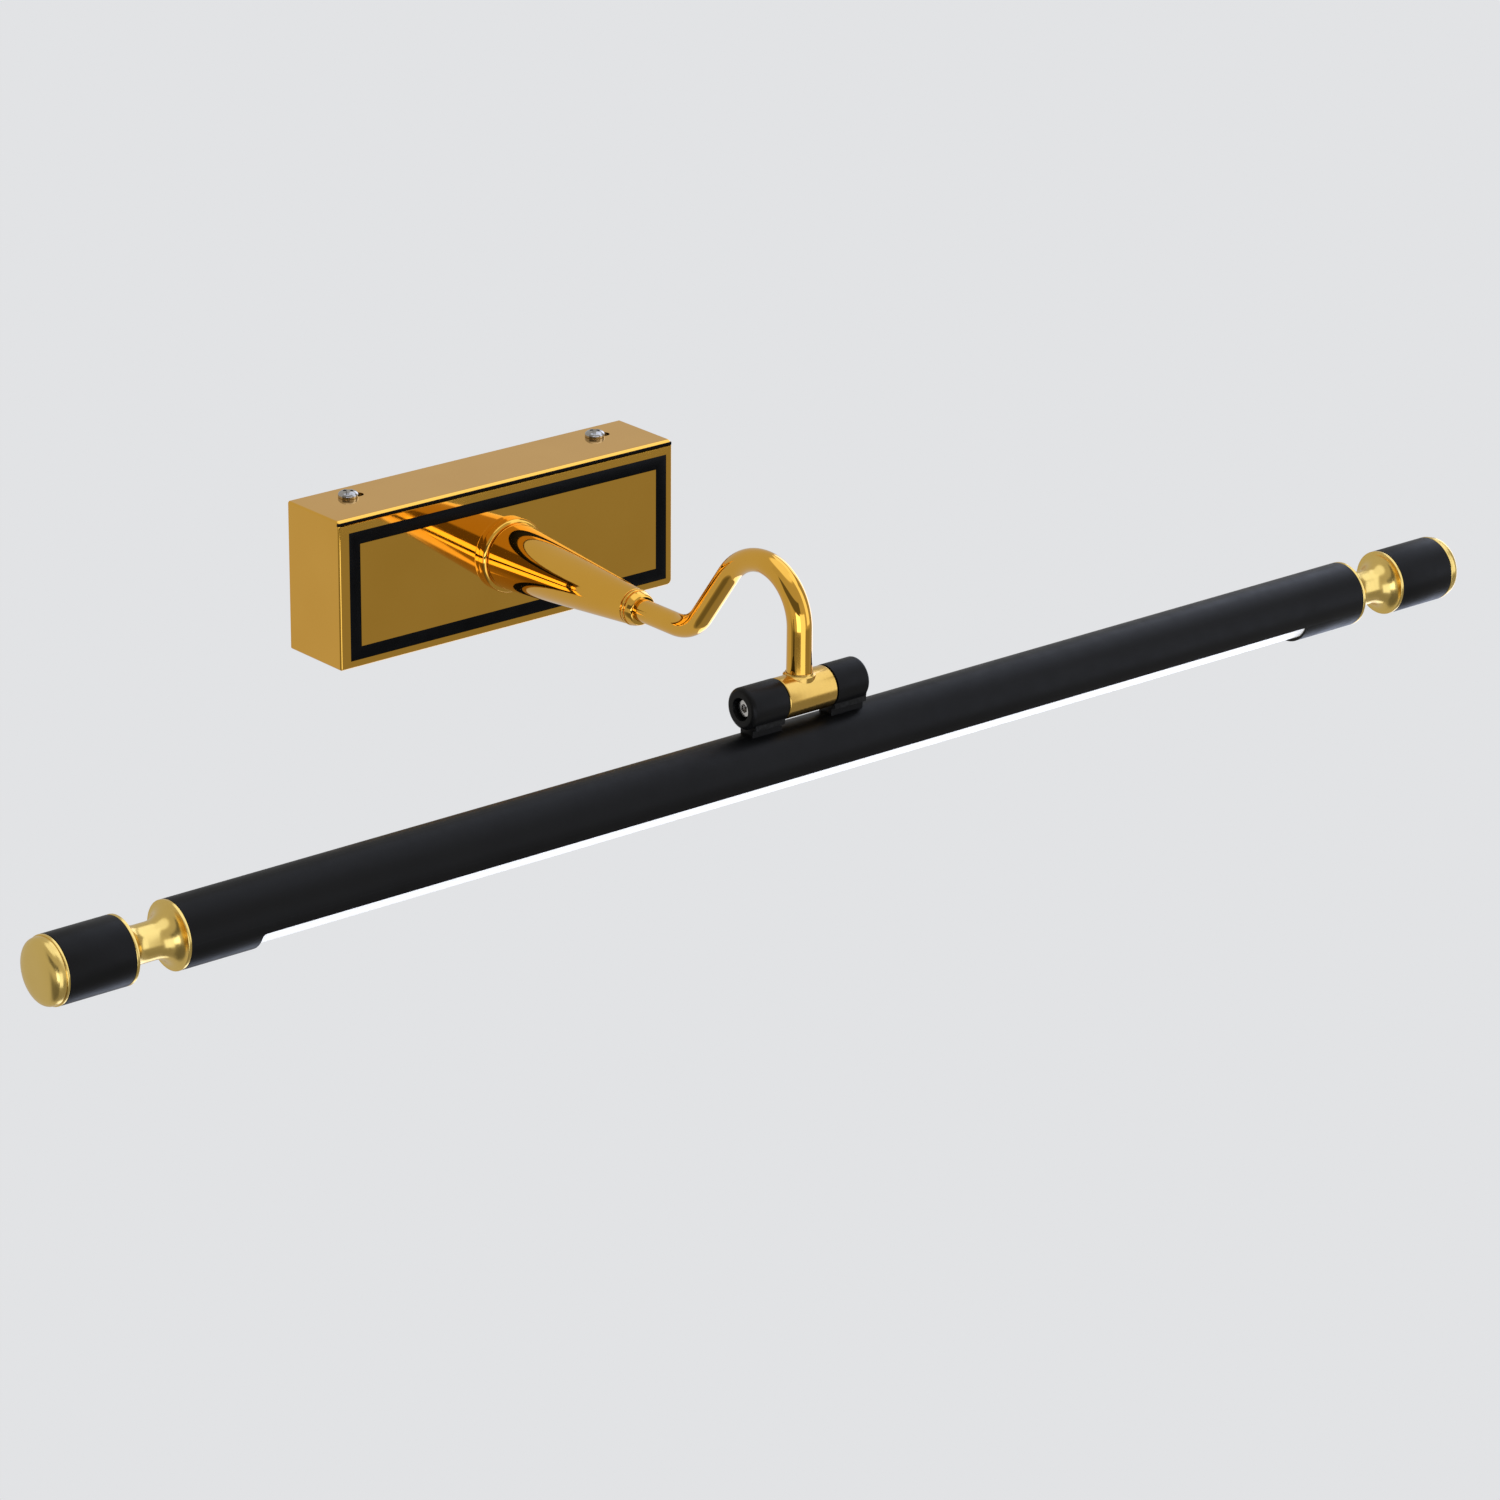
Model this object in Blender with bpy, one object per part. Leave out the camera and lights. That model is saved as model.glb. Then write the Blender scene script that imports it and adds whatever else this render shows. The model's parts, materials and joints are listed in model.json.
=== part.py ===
"""Wall picture light: a box canopy, a cone and swan-neck arm, and a tubular lamp head that tilts.

Frame: the origin is the centre of the canopy's back, on the wall. +X runs right along the
lamp tube, +Y goes into the wall and +Z is up. Lengths are in millimetres times MM.
"""

import math

import bmesh
import bpy
from mathutils import Matrix, Vector

MM = 0.001
GAP = 0.3                 # clearance left between pieces that touch

# canopy on the wall
CANOPY_W = 162.0
CANOPY_H = 60.0
CANOPY_D = 32.6
CANOPY_WALL = 1.5
TOP_FOLD = 2.3            # radius of the fold along the top of the front
EDGE_ROUND = 0.9          # radius of the cover's other outer edges
SEAM_DROP = 0.8           # from the top face down to the seam along the front
SEAM_WIDTH = 1.2
SEAM_DEPTH = 1.05
TOP_LINE_SET_BACK = 0.35
TOP_LINE_DEPTH = 0.4
LINE_OUTER = (154.2, 51.6)
LINE_CENTRE = (0.85, -1.2)
LINE_WIDTH = 5.2
LINE_DEPTH = 0.6
COVER_SCREW_X = 60.0
COVER_SCREW_Y = -10.0
COVER_SLOT = (10.6, 4.6)
SLOT_SHIFT = 1.6          # how far each cover slot is off its screw

# wall bracket
PLATE_W = 140.0
PLATE_T = 2.0
FLANGE_DEPTH = 20.0
WALL_SLOT_X = 60.3
CABLE_ENTRY = (-30.0, 8.0)
CABLE_ENTRY_R = 8.0
EARTH_PLACE = (20.0, 17.0)

# arm
RING_R = 14.9
RING_T = 3.0
CONE_BASE_R = 13.4
CONE_TIP_R = 7.0
CONE_END_Y = -110.0
COLLAR_END_Y = -115.5
NIPPLE_R = 5.0
NECK_R = 4.4
NECK_BORE_R = 3.4
NECK_REACH = 207.3
NECK_CREST = 38.8
NECK_SLOPE = math.radians(53.0)
NECK_ENTRY_Y = -103.0
NECK_LOW_VERTEX_Y = -144.4
NECK_BENDS = (20.0, 26.0, 20.3)
NECK_SEAT = 5.0           # height of the neck's lower end above the hinge axis

# tilt hinge
HINGE_Y = -NECK_REACH
HINGE_Z = -6.5
BARREL_R = 7.9
BARREL_X = (-10.7, 11.9)
BARREL_BORE_R = 3.4
EAR_R = 8.0
EAR_ROUND = 1.8           # radius round the outer edge of each ear
EAR_LEFT_X = (-28.2, -11.5)
EAR_RIGHT_X = (12.7, 27.8)
FOOT_LEFT_X = (-27.3, -11.8)
FOOT_RIGHT_X = (13.1, 27.4)
FOOT_HALF_Y = 5.3
EAR_TAP_TOP = 5.9         # from the hinge axis down to the end of each tapped hole
PIVOT_HEAD_X = (-26.4, -23.4)
PIVOT_HEAD_R = 3.4
COUNTERBORE_R = 4.6
WASHER_RECESS_R = 5.8
WASHER_RECESS = 0.4
HOLLOW_PIVOT_X = (6.0, 22.0)
LEAD_BORE_END_X = 25.0
EAR_SCREW_LEFT_X = -18.0
EAR_SCREW_RIGHT_X = 17.5
LEAD_DROP_X = 23.3

# lamp head
LAMP_Z = -29.7
LAMP_R = 12.7
LAMP_BORE_R = 11.7
LAMP_HALF = 280.0
SLOT_HALF = 250.0
SLOT_EDGE_DROP = 4.0      # height of the slot's edges below the tube's axis
DIFFUSER_R = 11.4
DIFFUSER_T = 1.2
INSERT_HALF = 262.0
SPOOL_LENGTH = 22.1
SPOOL_RIM = 1.3
SPOOL_NECK_R = 6.9
SPOOL_STRAIGHT = 2.2      # half the length of the spool's straight neck
SLEEVE_LENGTH = 26.6
CAP_LIP = 1.0
CAP_DOME = 5.0
STUD_R = 3.0
LEAD_R = 1.3
LED_COUNT = 20

# materials: base colour, roughness, metallic
FINISHES = {
    "polished_gold": ((0.75, 0.52, 0.20), 0.12, 1.0),
    "satin_gold": ((0.72, 0.50, 0.20), 0.32, 1.0),
    "black_paint": ((0.016, 0.016, 0.017), 0.42, 0.0),
    "black_line": ((0.012, 0.012, 0.012), 0.38, 0.0),
    "nickel": ((0.72, 0.70, 0.67), 0.18, 1.0),
    "zinc_steel": ((0.52, 0.53, 0.54), 0.38, 1.0),
    "aluminium": ((0.66, 0.67, 0.68), 0.35, 1.0),
    "brass": ((0.70, 0.54, 0.24), 0.28, 1.0),
    "white_plastic": ((0.80, 0.80, 0.78), 0.45, 0.0),
    "opal": ((0.93, 0.92, 0.88), 0.40, 0.0),
    "nylon": ((0.70, 0.68, 0.62), 0.50, 0.0),
    "led_white": ((0.86, 0.85, 0.78), 0.40, 0.0),
    "lead_sheath": ((0.62, 0.63, 0.64), 0.45, 0.0),
}

X_AXIS = Matrix.Rotation(math.radians(90), 4, "Y")       # local +Z turned to world +X
TOWARDS_ROOM = Matrix.Rotation(math.radians(90), 4, "X")  # local +Z turned to world -Y


def clear_scene():
    for obj in list(bpy.data.objects):
        bpy.data.objects.remove(obj, do_unlink=True)


def finish(name):
    mat = bpy.data.materials.get(name)
    if mat:
        return mat
    colour, roughness, metallic = FINISHES[name]
    mat = bpy.data.materials.new(name)
    mat.use_nodes = True
    shader = mat.node_tree.nodes["Principled BSDF"]
    shader.inputs["Base Color"].default_value = (*colour, 1.0)
    shader.inputs["Roughness"].default_value = roughness
    shader.inputs["Metallic"].default_value = metallic
    return mat


def add_object(name, bm, material=None, smooth_below=None):
    """Turn a bmesh in millimetres into a named object in metres."""
    bmesh.ops.scale(bm, vec=(MM, MM, MM), verts=bm.verts)
    bmesh.ops.recalc_face_normals(bm, faces=bm.faces)
    mesh = bpy.data.meshes.new(name)
    bm.to_mesh(mesh)
    bm.free()
    obj = bpy.data.objects.new(name, mesh)
    bpy.context.scene.collection.objects.link(obj)
    if material:
        mesh.materials.append(finish(material))
    if smooth_below:
        mesh.shade_smooth()
        mesh.set_sharp_from_angle(angle=math.radians(smooth_below))
    return obj


def as_cutter(obj):
    obj.hide_render = True
    obj.display_type = "WIRE"
    return obj


def boolean(obj, cutter, operation="DIFFERENCE"):
    as_cutter(cutter)
    mod = obj.modifiers.new(operation.title(), "BOOLEAN")
    mod.operation = operation
    mod.solver = "EXACT"
    mod.object = cutter


def moved(bm, matrix):
    bmesh.ops.transform(bm, matrix=matrix, verts=bm.verts)
    return bm


def box_mesh(low, high, bevel=0.0, segments=2, edge_filter=None):
    bm = bmesh.new()
    bmesh.ops.create_cube(bm, size=1.0)
    size = [b - a for a, b in zip(low, high)]
    centre = [(a + b) / 2 for a, b in zip(low, high)]
    bmesh.ops.scale(bm, vec=size, verts=bm.verts)
    bmesh.ops.translate(bm, vec=centre, verts=bm.verts)
    if bevel:
        edges = [e for e in bm.edges if edge_filter is None or edge_filter(e)]
        bmesh.ops.bevel(bm, geom=edges, offset=bevel, segments=segments, profile=0.5,
                        affect="EDGES", material=-1)
    return bm


def along(axis):
    """Edge filter: edges that run along one axis."""
    def test(edge):
        span = edge.verts[0].co - edge.verts[1].co
        return abs(span[axis]) > 0.9 * span.length
    return test


def turned(profile, steps=48, closed=False):
    """Spin (radius, height) points about Z; an open profile starts and ends on the axis."""
    bm = bmesh.new()
    verts = [bm.verts.new((r, 0.0, h)) for r, h in profile]
    edges = [bm.edges.new(pair) for pair in zip(verts, verts[1:])]
    if closed:
        edges.append(bm.edges.new((verts[-1], verts[0])))
    bmesh.ops.spin(bm, geom=verts + edges, axis=(0, 0, 1), cent=(0, 0, 0), dvec=(0, 0, 0),
                   angle=2 * math.pi, steps=steps, use_merge=True, use_duplicate=False)
    bmesh.ops.remove_doubles(bm, verts=bm.verts, dist=1e-4)
    return bm


def rod(radius, low, high, steps=24, bevel=0.0):
    if not bevel:
        return turned([(0, low), (radius, low), (radius, high), (0, high)], steps)
    profile = [(0, low), (radius - bevel, low), (radius, low + bevel),
               (radius, high - bevel), (radius - bevel, high), (0, high)]
    return turned(profile, steps)


def ring_mesh(outer, inner, low, high, steps=48, bevel=0.0):
    profile = [(inner, low), (outer - bevel, low), (outer, low + bevel),
               (outer, high - bevel), (outer - bevel, high), (inner, high)]
    if not bevel:
        profile = [(inner, low), (outer, low), (outer, high), (inner, high)]
    return turned(profile, steps, closed=True)


def extruded(outline, axis_low, axis_high, axis="X"):
    """Extrude a closed outline along X (outline in y, z) or along Y (outline in x, z)."""
    bm = bmesh.new()
    if axis == "X":
        verts = [bm.verts.new((axis_low, a, b)) for a, b in outline]
        step = (axis_high - axis_low, 0, 0)
    else:
        verts = [bm.verts.new((a, axis_low, b)) for a, b in outline]
        step = (0, axis_high - axis_low, 0)
    face = bm.faces.new(verts)
    new = bmesh.ops.extrude_face_region(bm, geom=[face])
    verts = [g for g in new["geom"] if isinstance(g, bmesh.types.BMVert)]
    bmesh.ops.translate(bm, vec=step, verts=verts)
    return bm


def arc(radius, start, end, steps, centre=(0.0, 0.0)):
    """Points of an arc, angles in degrees, as (a, b) pairs."""
    points = []
    for i in range(steps + 1):
        angle = math.radians(start + (end - start) * i / steps)
        points.append((centre[0] + radius * math.cos(angle), centre[1] + radius * math.sin(angle)))
    return points


def rounded_path(corners, radii, arc_step=math.radians(9)):
    """A polyline through corners with each inner corner rounded to its own radius."""
    points = [Vector(corners[0])]
    for before, corner, after, radius in zip(corners, corners[1:], corners[2:], radii):
        corner = Vector(corner)
        back = (Vector(before) - corner).normalized()
        ahead = (Vector(after) - corner).normalized()
        turn = math.pi - back.angle(ahead)
        reach = radius * math.tan(turn / 2)
        start = corner + back * reach
        inward = (back + ahead).normalized()
        centre = corner + inward * math.hypot(radius, reach)
        spoke = start - centre
        normal = spoke.cross(-back).normalized()
        steps = max(3, math.ceil(turn / arc_step))
        for i in range(steps + 1):
            points.append(centre + Matrix.Rotation(turn * i / steps, 3, normal) @ spoke)
    points.append(Vector(corners[-1]))
    return points


def swept(path, radius, steps=16, bore=None):
    """A round rod, or a tube when bore is given, along a path of points."""
    bm = bmesh.new()
    tangents = [(b - a).normalized() for a, b in zip(path, path[1:])]
    middles = [(a + b).normalized() for a, b in zip(tangents, tangents[1:])]
    tangents = [tangents[0]] + middles + [tangents[-1]]
    side = Vector((1, 0, 0)) if abs(tangents[0].x) < 0.9 else Vector((0, 1, 0))
    side = (side - side.dot(tangents[0]) * tangents[0]).normalized()
    radii = [radius] if bore is None else [radius, bore]
    shells = [[] for _ in radii]
    last = tangents[0]
    for point, tangent in zip(path, tangents):
        side = last.rotation_difference(tangent) @ side
        up = tangent.cross(side)
        last = tangent
        for shell, r in zip(shells, radii):
            ring = []
            for i in range(steps):
                a = 2 * math.pi * i / steps
                ring.append(bm.verts.new(point + side * (r * math.cos(a)) + up * (r * math.sin(a))))
            shell.append(ring)
    for shell in shells:
        for low, high in zip(shell, shell[1:]):
            for i in range(steps):
                j = (i + 1) % steps
                bm.faces.new((low[i], low[j], high[j], high[i]))
    if bore is None:
        bm.faces.new(shells[0][0])
        bm.faces.new(shells[0][-1])
    else:
        for end in (0, -1):
            for i in range(steps):
                j = (i + 1) % steps
                outer, inner = shells[0][end], shells[1][end]
                bm.faces.new((outer[i], outer[j], inner[j], inner[i]))
    return bm


def slot_cutter(length, width, low, high, centre, axis):
    """A slotted-hole cutter along X; it goes through along Y or Z."""
    r = width / 2
    reach = length / 2 - r
    outline = arc(r, -90, 90, 8, (reach, 0)) + arc(r, 90, 270, 8, (-reach, 0))
    bm = extruded([(centre[0] + a, centre[1] + b) for a, b in outline], low, high, "Y")
    if axis == "Z":
        moved(bm, Matrix.Rotation(math.radians(90), 4, "X"))
    return bm


def at_hinge(bm):
    return moved(bm, Matrix.Translation((0, HINGE_Y, HINGE_Z)))


def at_lamp(bm):
    return moved(bm, Matrix.Translation((0, HINGE_Y, LAMP_Z)))


# ---- canopy -------------------------------------------------------------------------------

def make_wall_plate():
    half = PLATE_W / 2
    top = CANOPY_H / 2 - CANOPY_WALL - GAP
    outline = [(0, -top), (0, top), (-FLANGE_DEPTH, top), (-FLANGE_DEPTH, top - PLATE_T),
               (-PLATE_T, top - PLATE_T), (-PLATE_T, PLATE_T - top),
               (-FLANGE_DEPTH, PLATE_T - top), (-FLANGE_DEPTH, -top)]
    plate = add_object("wall_plate", extruded(outline, -half, half), "zinc_steel")
    for side in (-1, 1):
        slot = slot_cutter(14, 6, -5, 5, (side * WALL_SLOT_X, 0), "Y")
        boolean(plate, add_object(f"cut_wall_slot_{side}", slot))
        hole = moved(rod(2.0, 20, 35), Matrix.Translation((side * COVER_SCREW_X, COVER_SCREW_Y, 0)))
        boolean(plate, add_object(f"cut_flange_hole_{side}", hole))
    holes = (("cable_entry", CABLE_ENTRY, CABLE_ENTRY_R), ("earth_hole", EARTH_PLACE, 2.0))
    for name, place, radius in holes:
        spot = Matrix.Translation((place[0], 0, place[1]))
        boolean(plate, add_object(f"cut_{name}", moved(rod(radius, -5, 5, 40), spot @ TOWARDS_ROOM)))


def is_fold(edge):
    """True for the cover's top front edge."""
    return all(abs(v.co.y + CANOPY_D) < 1e-4 and v.co.z > 0 for v in edge.verts)


def is_outer_corner(edge):
    """True for a sharp edge of the cover that is not on the wall."""
    return edge.calc_face_angle(0) > 0.5 and min(v.co.y for v in edge.verts) < -1


def make_wall_cover():
    half_w, half_h = CANOPY_W / 2, CANOPY_H / 2
    bm = box_mesh((-half_w, -CANOPY_D, -half_h), (half_w, 0, half_h), TOP_FOLD, 5, is_fold)
    corners = [e for e in bm.edges if is_outer_corner(e)]
    bmesh.ops.bevel(bm, geom=corners, offset=EDGE_ROUND, segments=2, profile=0.5,
                    affect="EDGES", material=-1)
    cover = add_object("wall_cover", bm, "polished_gold", 40)
    inner = (half_w - CANOPY_WALL, CANOPY_D - CANOPY_WALL, half_h - CANOPY_WALL)
    cavity = box_mesh((-inner[0], -inner[1], -inner[2]), (inner[0], 5, inner[2]), 1.0, 3, along(1))
    boolean(cover, add_object("cut_cover_cavity", cavity))
    groove = line_frame(0.0, -CANOPY_D - 1, -CANOPY_D + LINE_DEPTH + GAP)
    boolean(cover, add_object("cut_line_groove", groove))
    seam = box_mesh((-half_w - 1, -CANOPY_D - 1, half_h - SEAM_DROP - SEAM_WIDTH),
                    (half_w + 1, -CANOPY_D + SEAM_DEPTH, half_h - SEAM_DROP))
    boolean(cover, add_object("cut_front_seam", seam))
    for side in (-1, 1):
        centre = (side * COVER_SCREW_X + SLOT_SHIFT, -COVER_SCREW_Y)
        slot = slot_cutter(*COVER_SLOT, 20, 35, centre, "Z")
        boolean(cover, add_object(f"cut_cover_slot_{side}", slot))
    hole = moved(rod(NIPPLE_R + GAP, 20, 40), TOWARDS_ROOM)
    boolean(cover, add_object("cut_nipple_hole", hole))


def line_frame(shrink, low, high):
    """The rectangular frame of the front line, as a ring-shaped slab."""
    w, h = LINE_OUTER[0] / 2 - shrink, LINE_OUTER[1] / 2 - shrink
    band = LINE_WIDTH - 2 * shrink
    bm = bmesh.new()
    outer = [(-w, -h), (w, -h), (w, h), (-w, h)]
    inner = [(a - math.copysign(band, a), b - math.copysign(band, b)) for a, b in outer]
    across, up = LINE_CENTRE
    rings = [[bm.verts.new((a + across, y, b + up)) for a, b in loop]
             for y in (low, high) for loop in (outer, inner)]
    low_outer, low_inner, high_outer, high_inner = rings
    for i in range(4):
        j = (i + 1) % 4
        bm.faces.new((low_outer[i], low_outer[j], low_inner[j], low_inner[i]))
        bm.faces.new((high_outer[i], high_inner[i], high_inner[j], high_outer[j]))
        bm.faces.new((low_outer[i], high_outer[i], high_outer[j], low_outer[j]))
        bm.faces.new((low_inner[i], low_inner[j], high_inner[j], high_inner[i]))
    return bm


def make_black_lines():
    face = -CANOPY_D
    add_object("black_line_inlay", line_frame(GAP, face, face + LINE_DEPTH), "black_line")
    half_w = CANOPY_W / 2 - GAP
    front = face + TOP_LINE_SET_BACK
    top = CANOPY_H / 2 - SEAM_DROP - GAP
    low = (-half_w, front, top - SEAM_WIDTH + 2 * GAP)
    add_object("black_top_line", box_mesh(low, (half_w, front + TOP_LINE_DEPTH, top)), "black_line")


def pan_screw(name, place, turn, head_r, shank_r, length, material):
    """A domed cross-head screw; local +Z points out of the head, z = 0 is under the head."""
    height = head_r * 0.62
    dome = [(head_r * math.cos(a), 0.6 + (height - 0.6) * math.sin(a))
            for a in [math.radians(d) for d in (0, 22, 45, 67)]]
    profile = [(0, -length), (shank_r - 0.4, -length), (shank_r, 0.4 - length), (shank_r, 0),
               (head_r, 0)] + dome + [(0, height)]
    screw = add_object(name, moved(turned(profile, 18), Matrix.Translation(place) @ turn), material, 40)
    for i, (a, b) in enumerate(((head_r * 0.5, 0.45), (0.45, head_r * 0.5))):
        arm = box_mesh((-a, -b, height * 0.55), (a, b, height + 1))
        boolean(screw, add_object(f"cut_{name}_{i}", moved(arm, Matrix.Translation(place) @ turn)))


def make_cover_screws():
    for label, side in (("left", -1), ("right", 1)):
        place = (side * COVER_SCREW_X, COVER_SCREW_Y, CANOPY_H / 2 + GAP)
        pan_screw(f"cover_screw_{label}", place, Matrix(), 3.9, 1.7, 8.0, "nickel")


def make_driver():
    low, high = (9, -22, -25), (49, -PLATE_T - GAP, 5)
    bm = box_mesh(low, high, 1.5, 2)
    driver = add_object("led_driver", bm, "white_plastic", 30)
    for i, z in enumerate((-18, -10, -2)):
        well = moved(rod(1.6, -9, 4, 16), Matrix.Translation((9, -15, z)) @ X_AXIS)
        boolean(driver, add_object(f"cut_driver_port_{i}", well))


def make_terminal_block():
    block = add_object("terminal_block", box_mesh((-50, -16, -22), (-24, -PLATE_T - GAP, -11), 0.8, 2),
                       "white_plastic", 30)
    for i in range(3):
        place = Matrix.Translation((-45.5 + 8.5 * i, -16, -16.5))
        boolean(block, add_object(f"cut_terminal_{i}", moved(rod(2.2, -4, 4, 20), place @ TOWARDS_ROOM)))


def make_earth_screw():
    place = (EARTH_PLACE[0], -PLATE_T - GAP, EARTH_PLACE[1])
    pan_screw("earth_screw", place, TOWARDS_ROOM, 3.6, 1.7, 2.0, "brass")


# ---- arm ----------------------------------------------------------------------------------

def make_cone_parts():
    face = CANOPY_D + GAP
    ring_end = face + RING_T
    ring = ring_mesh(RING_R, NIPPLE_R + GAP, face, ring_end, 36, 0.5)
    add_object("cone_ring", moved(ring, TOWARDS_ROOM), "polished_gold", 35)
    base, tip = ring_end + GAP, -CONE_END_Y
    wall = 1.4
    boss = base + 9.0
    slope = (CONE_BASE_R - CONE_TIP_R) / (tip - base)
    profile = [(NIPPLE_R + GAP, base), (CONE_BASE_R, base), (CONE_TIP_R, tip), (NECK_R + GAP, tip),
               (NECK_R + GAP, tip - 12), (CONE_TIP_R + slope * 14 - wall, tip - 14),
               (CONE_BASE_R - slope * 9 - wall, boss), (NIPPLE_R + GAP, boss)]
    add_object("arm_cone", moved(turned(profile, 40, closed=True), TOWARDS_ROOM), "polished_gold", 35)
    start, end = tip + GAP, -COLLAR_END_Y
    nose = [(5.6 + 1.5 * math.cos(a), end - 1.5 + 1.5 * math.sin(a)) for a in
            [math.radians(d) for d in (0, 30, 60, 90)]]
    collar = [(NECK_R + GAP, start), (7.1, start), (7.1, start + 0.7), (6.6, start + 1.0),
              (6.6, start + 1.5), (7.1, start + 1.8)] + nose + [(NECK_R + GAP, end)]
    add_object("cone_collar", moved(turned(collar, 28, closed=True), TOWARDS_ROOM), "polished_gold", 35)


def make_nipple_set():
    inner_face = CANOPY_D - CANOPY_WALL
    end = CANOPY_D + 2 * GAP + RING_T + 8.5
    nipple = ring_mesh(NIPPLE_R, 3.4, inner_face - 7.5, end, 32, 0.3)
    add_object("threaded_nipple", moved(nipple, TOWARDS_ROOM), "zinc_steel", 35)
    washer = ring_mesh(9.0, NIPPLE_R + GAP, inner_face - GAP - 1.2, inner_face - GAP, 24)
    add_object("nipple_washer", moved(washer, TOWARDS_ROOM), "zinc_steel", 35)
    low = inner_face - 2 * GAP - 1.2
    add_object("nipple_nut", hex_with_round_bore(8.1, NIPPLE_R + GAP, low - 4.5, low), "brass")


def hex_with_round_bore(corner_r, bore_r, low, high, steps=24):
    """A hexagonal nut: the outer radius follows the six flats."""
    bm = ring_mesh(corner_r, bore_r, low, high, steps)
    for vert in bm.verts:
        if math.hypot(vert.co.x, vert.co.y) > (corner_r + bore_r) / 2:
            angle = math.atan2(vert.co.y, vert.co.x) % (math.pi / 3) - math.pi / 6
            factor = math.cos(math.pi / 6) / math.cos(angle)
            vert.co.x *= factor
            vert.co.y *= factor
    moved(bm, TOWARDS_ROOM)
    return bm


def neck_corners():
    """Corner points of the swan neck's centreline before rounding."""
    crest_corner_y = NECK_LOW_VERTEX_Y - NECK_CREST / math.tan(NECK_SLOPE)
    return [(0, NECK_ENTRY_Y, 0), (0, NECK_LOW_VERTEX_Y, 0), (0, crest_corner_y, NECK_CREST),
            (0, HINGE_Y, NECK_CREST), (0, HINGE_Y, HINGE_Z + NECK_SEAT)]


def make_swan_neck():
    path = rounded_path(neck_corners(), NECK_BENDS, math.radians(11))
    add_object("swan_neck_tube", swept(path, NECK_R, 18, NECK_BORE_R), "polished_gold", 40)


def make_arm_lead():
    corners = [(8.0, -15, -10), (0, -15, -10), (0, -15, 0)] + neck_corners()[1:-1]
    corners += [(0, HINGE_Y, HINGE_Z), (17.0, HINGE_Y, HINGE_Z)]
    path = rounded_path(corners, (3, 5) + NECK_BENDS + (2.0,), math.radians(18))
    add_object("arm_lead", swept(path, LEAD_R, 8), "lead_sheath", 50)


# ---- hinge --------------------------------------------------------------------------------

def make_hinge_barrel():
    low, high = BARREL_X
    body = ring_mesh(BARREL_R, BARREL_BORE_R, low, high, 40, 0.4)
    barrel = add_object("hinge_barrel", at_hinge(moved(body, X_AXIS)), "satin_gold", 40)
    socket = Matrix.Translation((0, HINGE_Y, HINGE_Z))
    cuts = (("socket", NECK_R + GAP, NECK_SEAT - 0.25, 10), ("lead", 2.65, 0.2, NECK_SEAT + 0.5))
    for label, radius, low, high in cuts:
        boolean(barrel, add_object(f"cut_barrel_{label}", moved(rod(radius, low, high, 30), socket)))


def make_pivots():
    bush = ring_mesh(BARREL_BORE_R - GAP, 2.0 + GAP, BARREL_X[0] + 0.2, -3.5, 20)
    add_object("pivot_bush", at_hinge(moved(bush, X_AXIS)), "brass", 35)
    head_face, head_seat = PIVOT_HEAD_X
    profile = [(0, head_face), (PIVOT_HEAD_R - 0.3, head_face), (PIVOT_HEAD_R, head_face + 0.3),
               (PIVOT_HEAD_R, head_seat), (2.0, head_seat), (2.0, -4.2), (1.6, -3.8), (0, -3.8)]
    screw = add_object("pivot_screw", at_hinge(moved(turned(profile, 20), X_AXIS)), "nickel", 40)
    socket = at_hinge(moved(rod(1.8, head_face - 1, head_face + 1.8, 6), X_AXIS))
    boolean(screw, add_object("cut_pivot_hex", socket))
    hollow = ring_mesh(BARREL_BORE_R - GAP, 1.9, *HOLLOW_PIVOT_X, 20, 0.2)
    add_object("hollow_pivot", at_hinge(moved(hollow, X_AXIS)), "zinc_steel", 35)
    gaps = (("left", EAR_LEFT_X[1], BARREL_X[0]), ("right", BARREL_X[1], EAR_RIGHT_X[0]))
    for label, low, high in gaps:
        middle = (low + high) / 2 + (-0.3 if label == "left" else 0.3)
        washer = ring_mesh(5.4, BARREL_BORE_R + 0.2, middle - 0.25, middle + 0.25, 24)
        add_object(f"friction_washer_{label}", at_hinge(moved(washer, X_AXIS)), "nylon", 35)


def ear_blank(name, span, outer_low):
    """The ear's round drum along X, domed a little at its outer edge."""
    low, high = span
    r = EAR_R
    corner = EAR_ROUND
    rounded = [(r - corner + corner * math.cos(a), corner - corner * math.sin(a))
               for a in [math.radians(d) for d in (90, 60, 30, 0)]]
    if outer_low:
        profile = [(0, low)] + [(a, low + b) for a, b in rounded] + [(r, high), (0, high)]
    else:
        profile = [(0, low), (r, low)] + [(a, high - b) for a, b in reversed(rounded)] + [(0, high)]
    return add_object(name, at_hinge(moved(turned(profile, 36), X_AXIS)), "black_paint", 40)


def foot_mesh(span):
    """The ear's foot: an upright block from the drum down, spread a little onto the lamp tube."""
    spread = FOOT_HALF_Y + 0.5
    right = [(6.0, -3.0), (FOOT_HALF_Y, -6.2), (FOOT_HALF_Y, -9.6), (spread, -11.0), (spread, -13.5)]
    left = [(-a, b) for a, b in reversed(right)]
    bm = extruded([(a + HINGE_Y, b + HINGE_Z) for a, b in right + left], *span)
    return bm


def lamp_clearance(name):
    return add_object(name, at_lamp(moved(rod(LAMP_R + GAP, -60, 60, 48), X_AXIS)))


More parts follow.
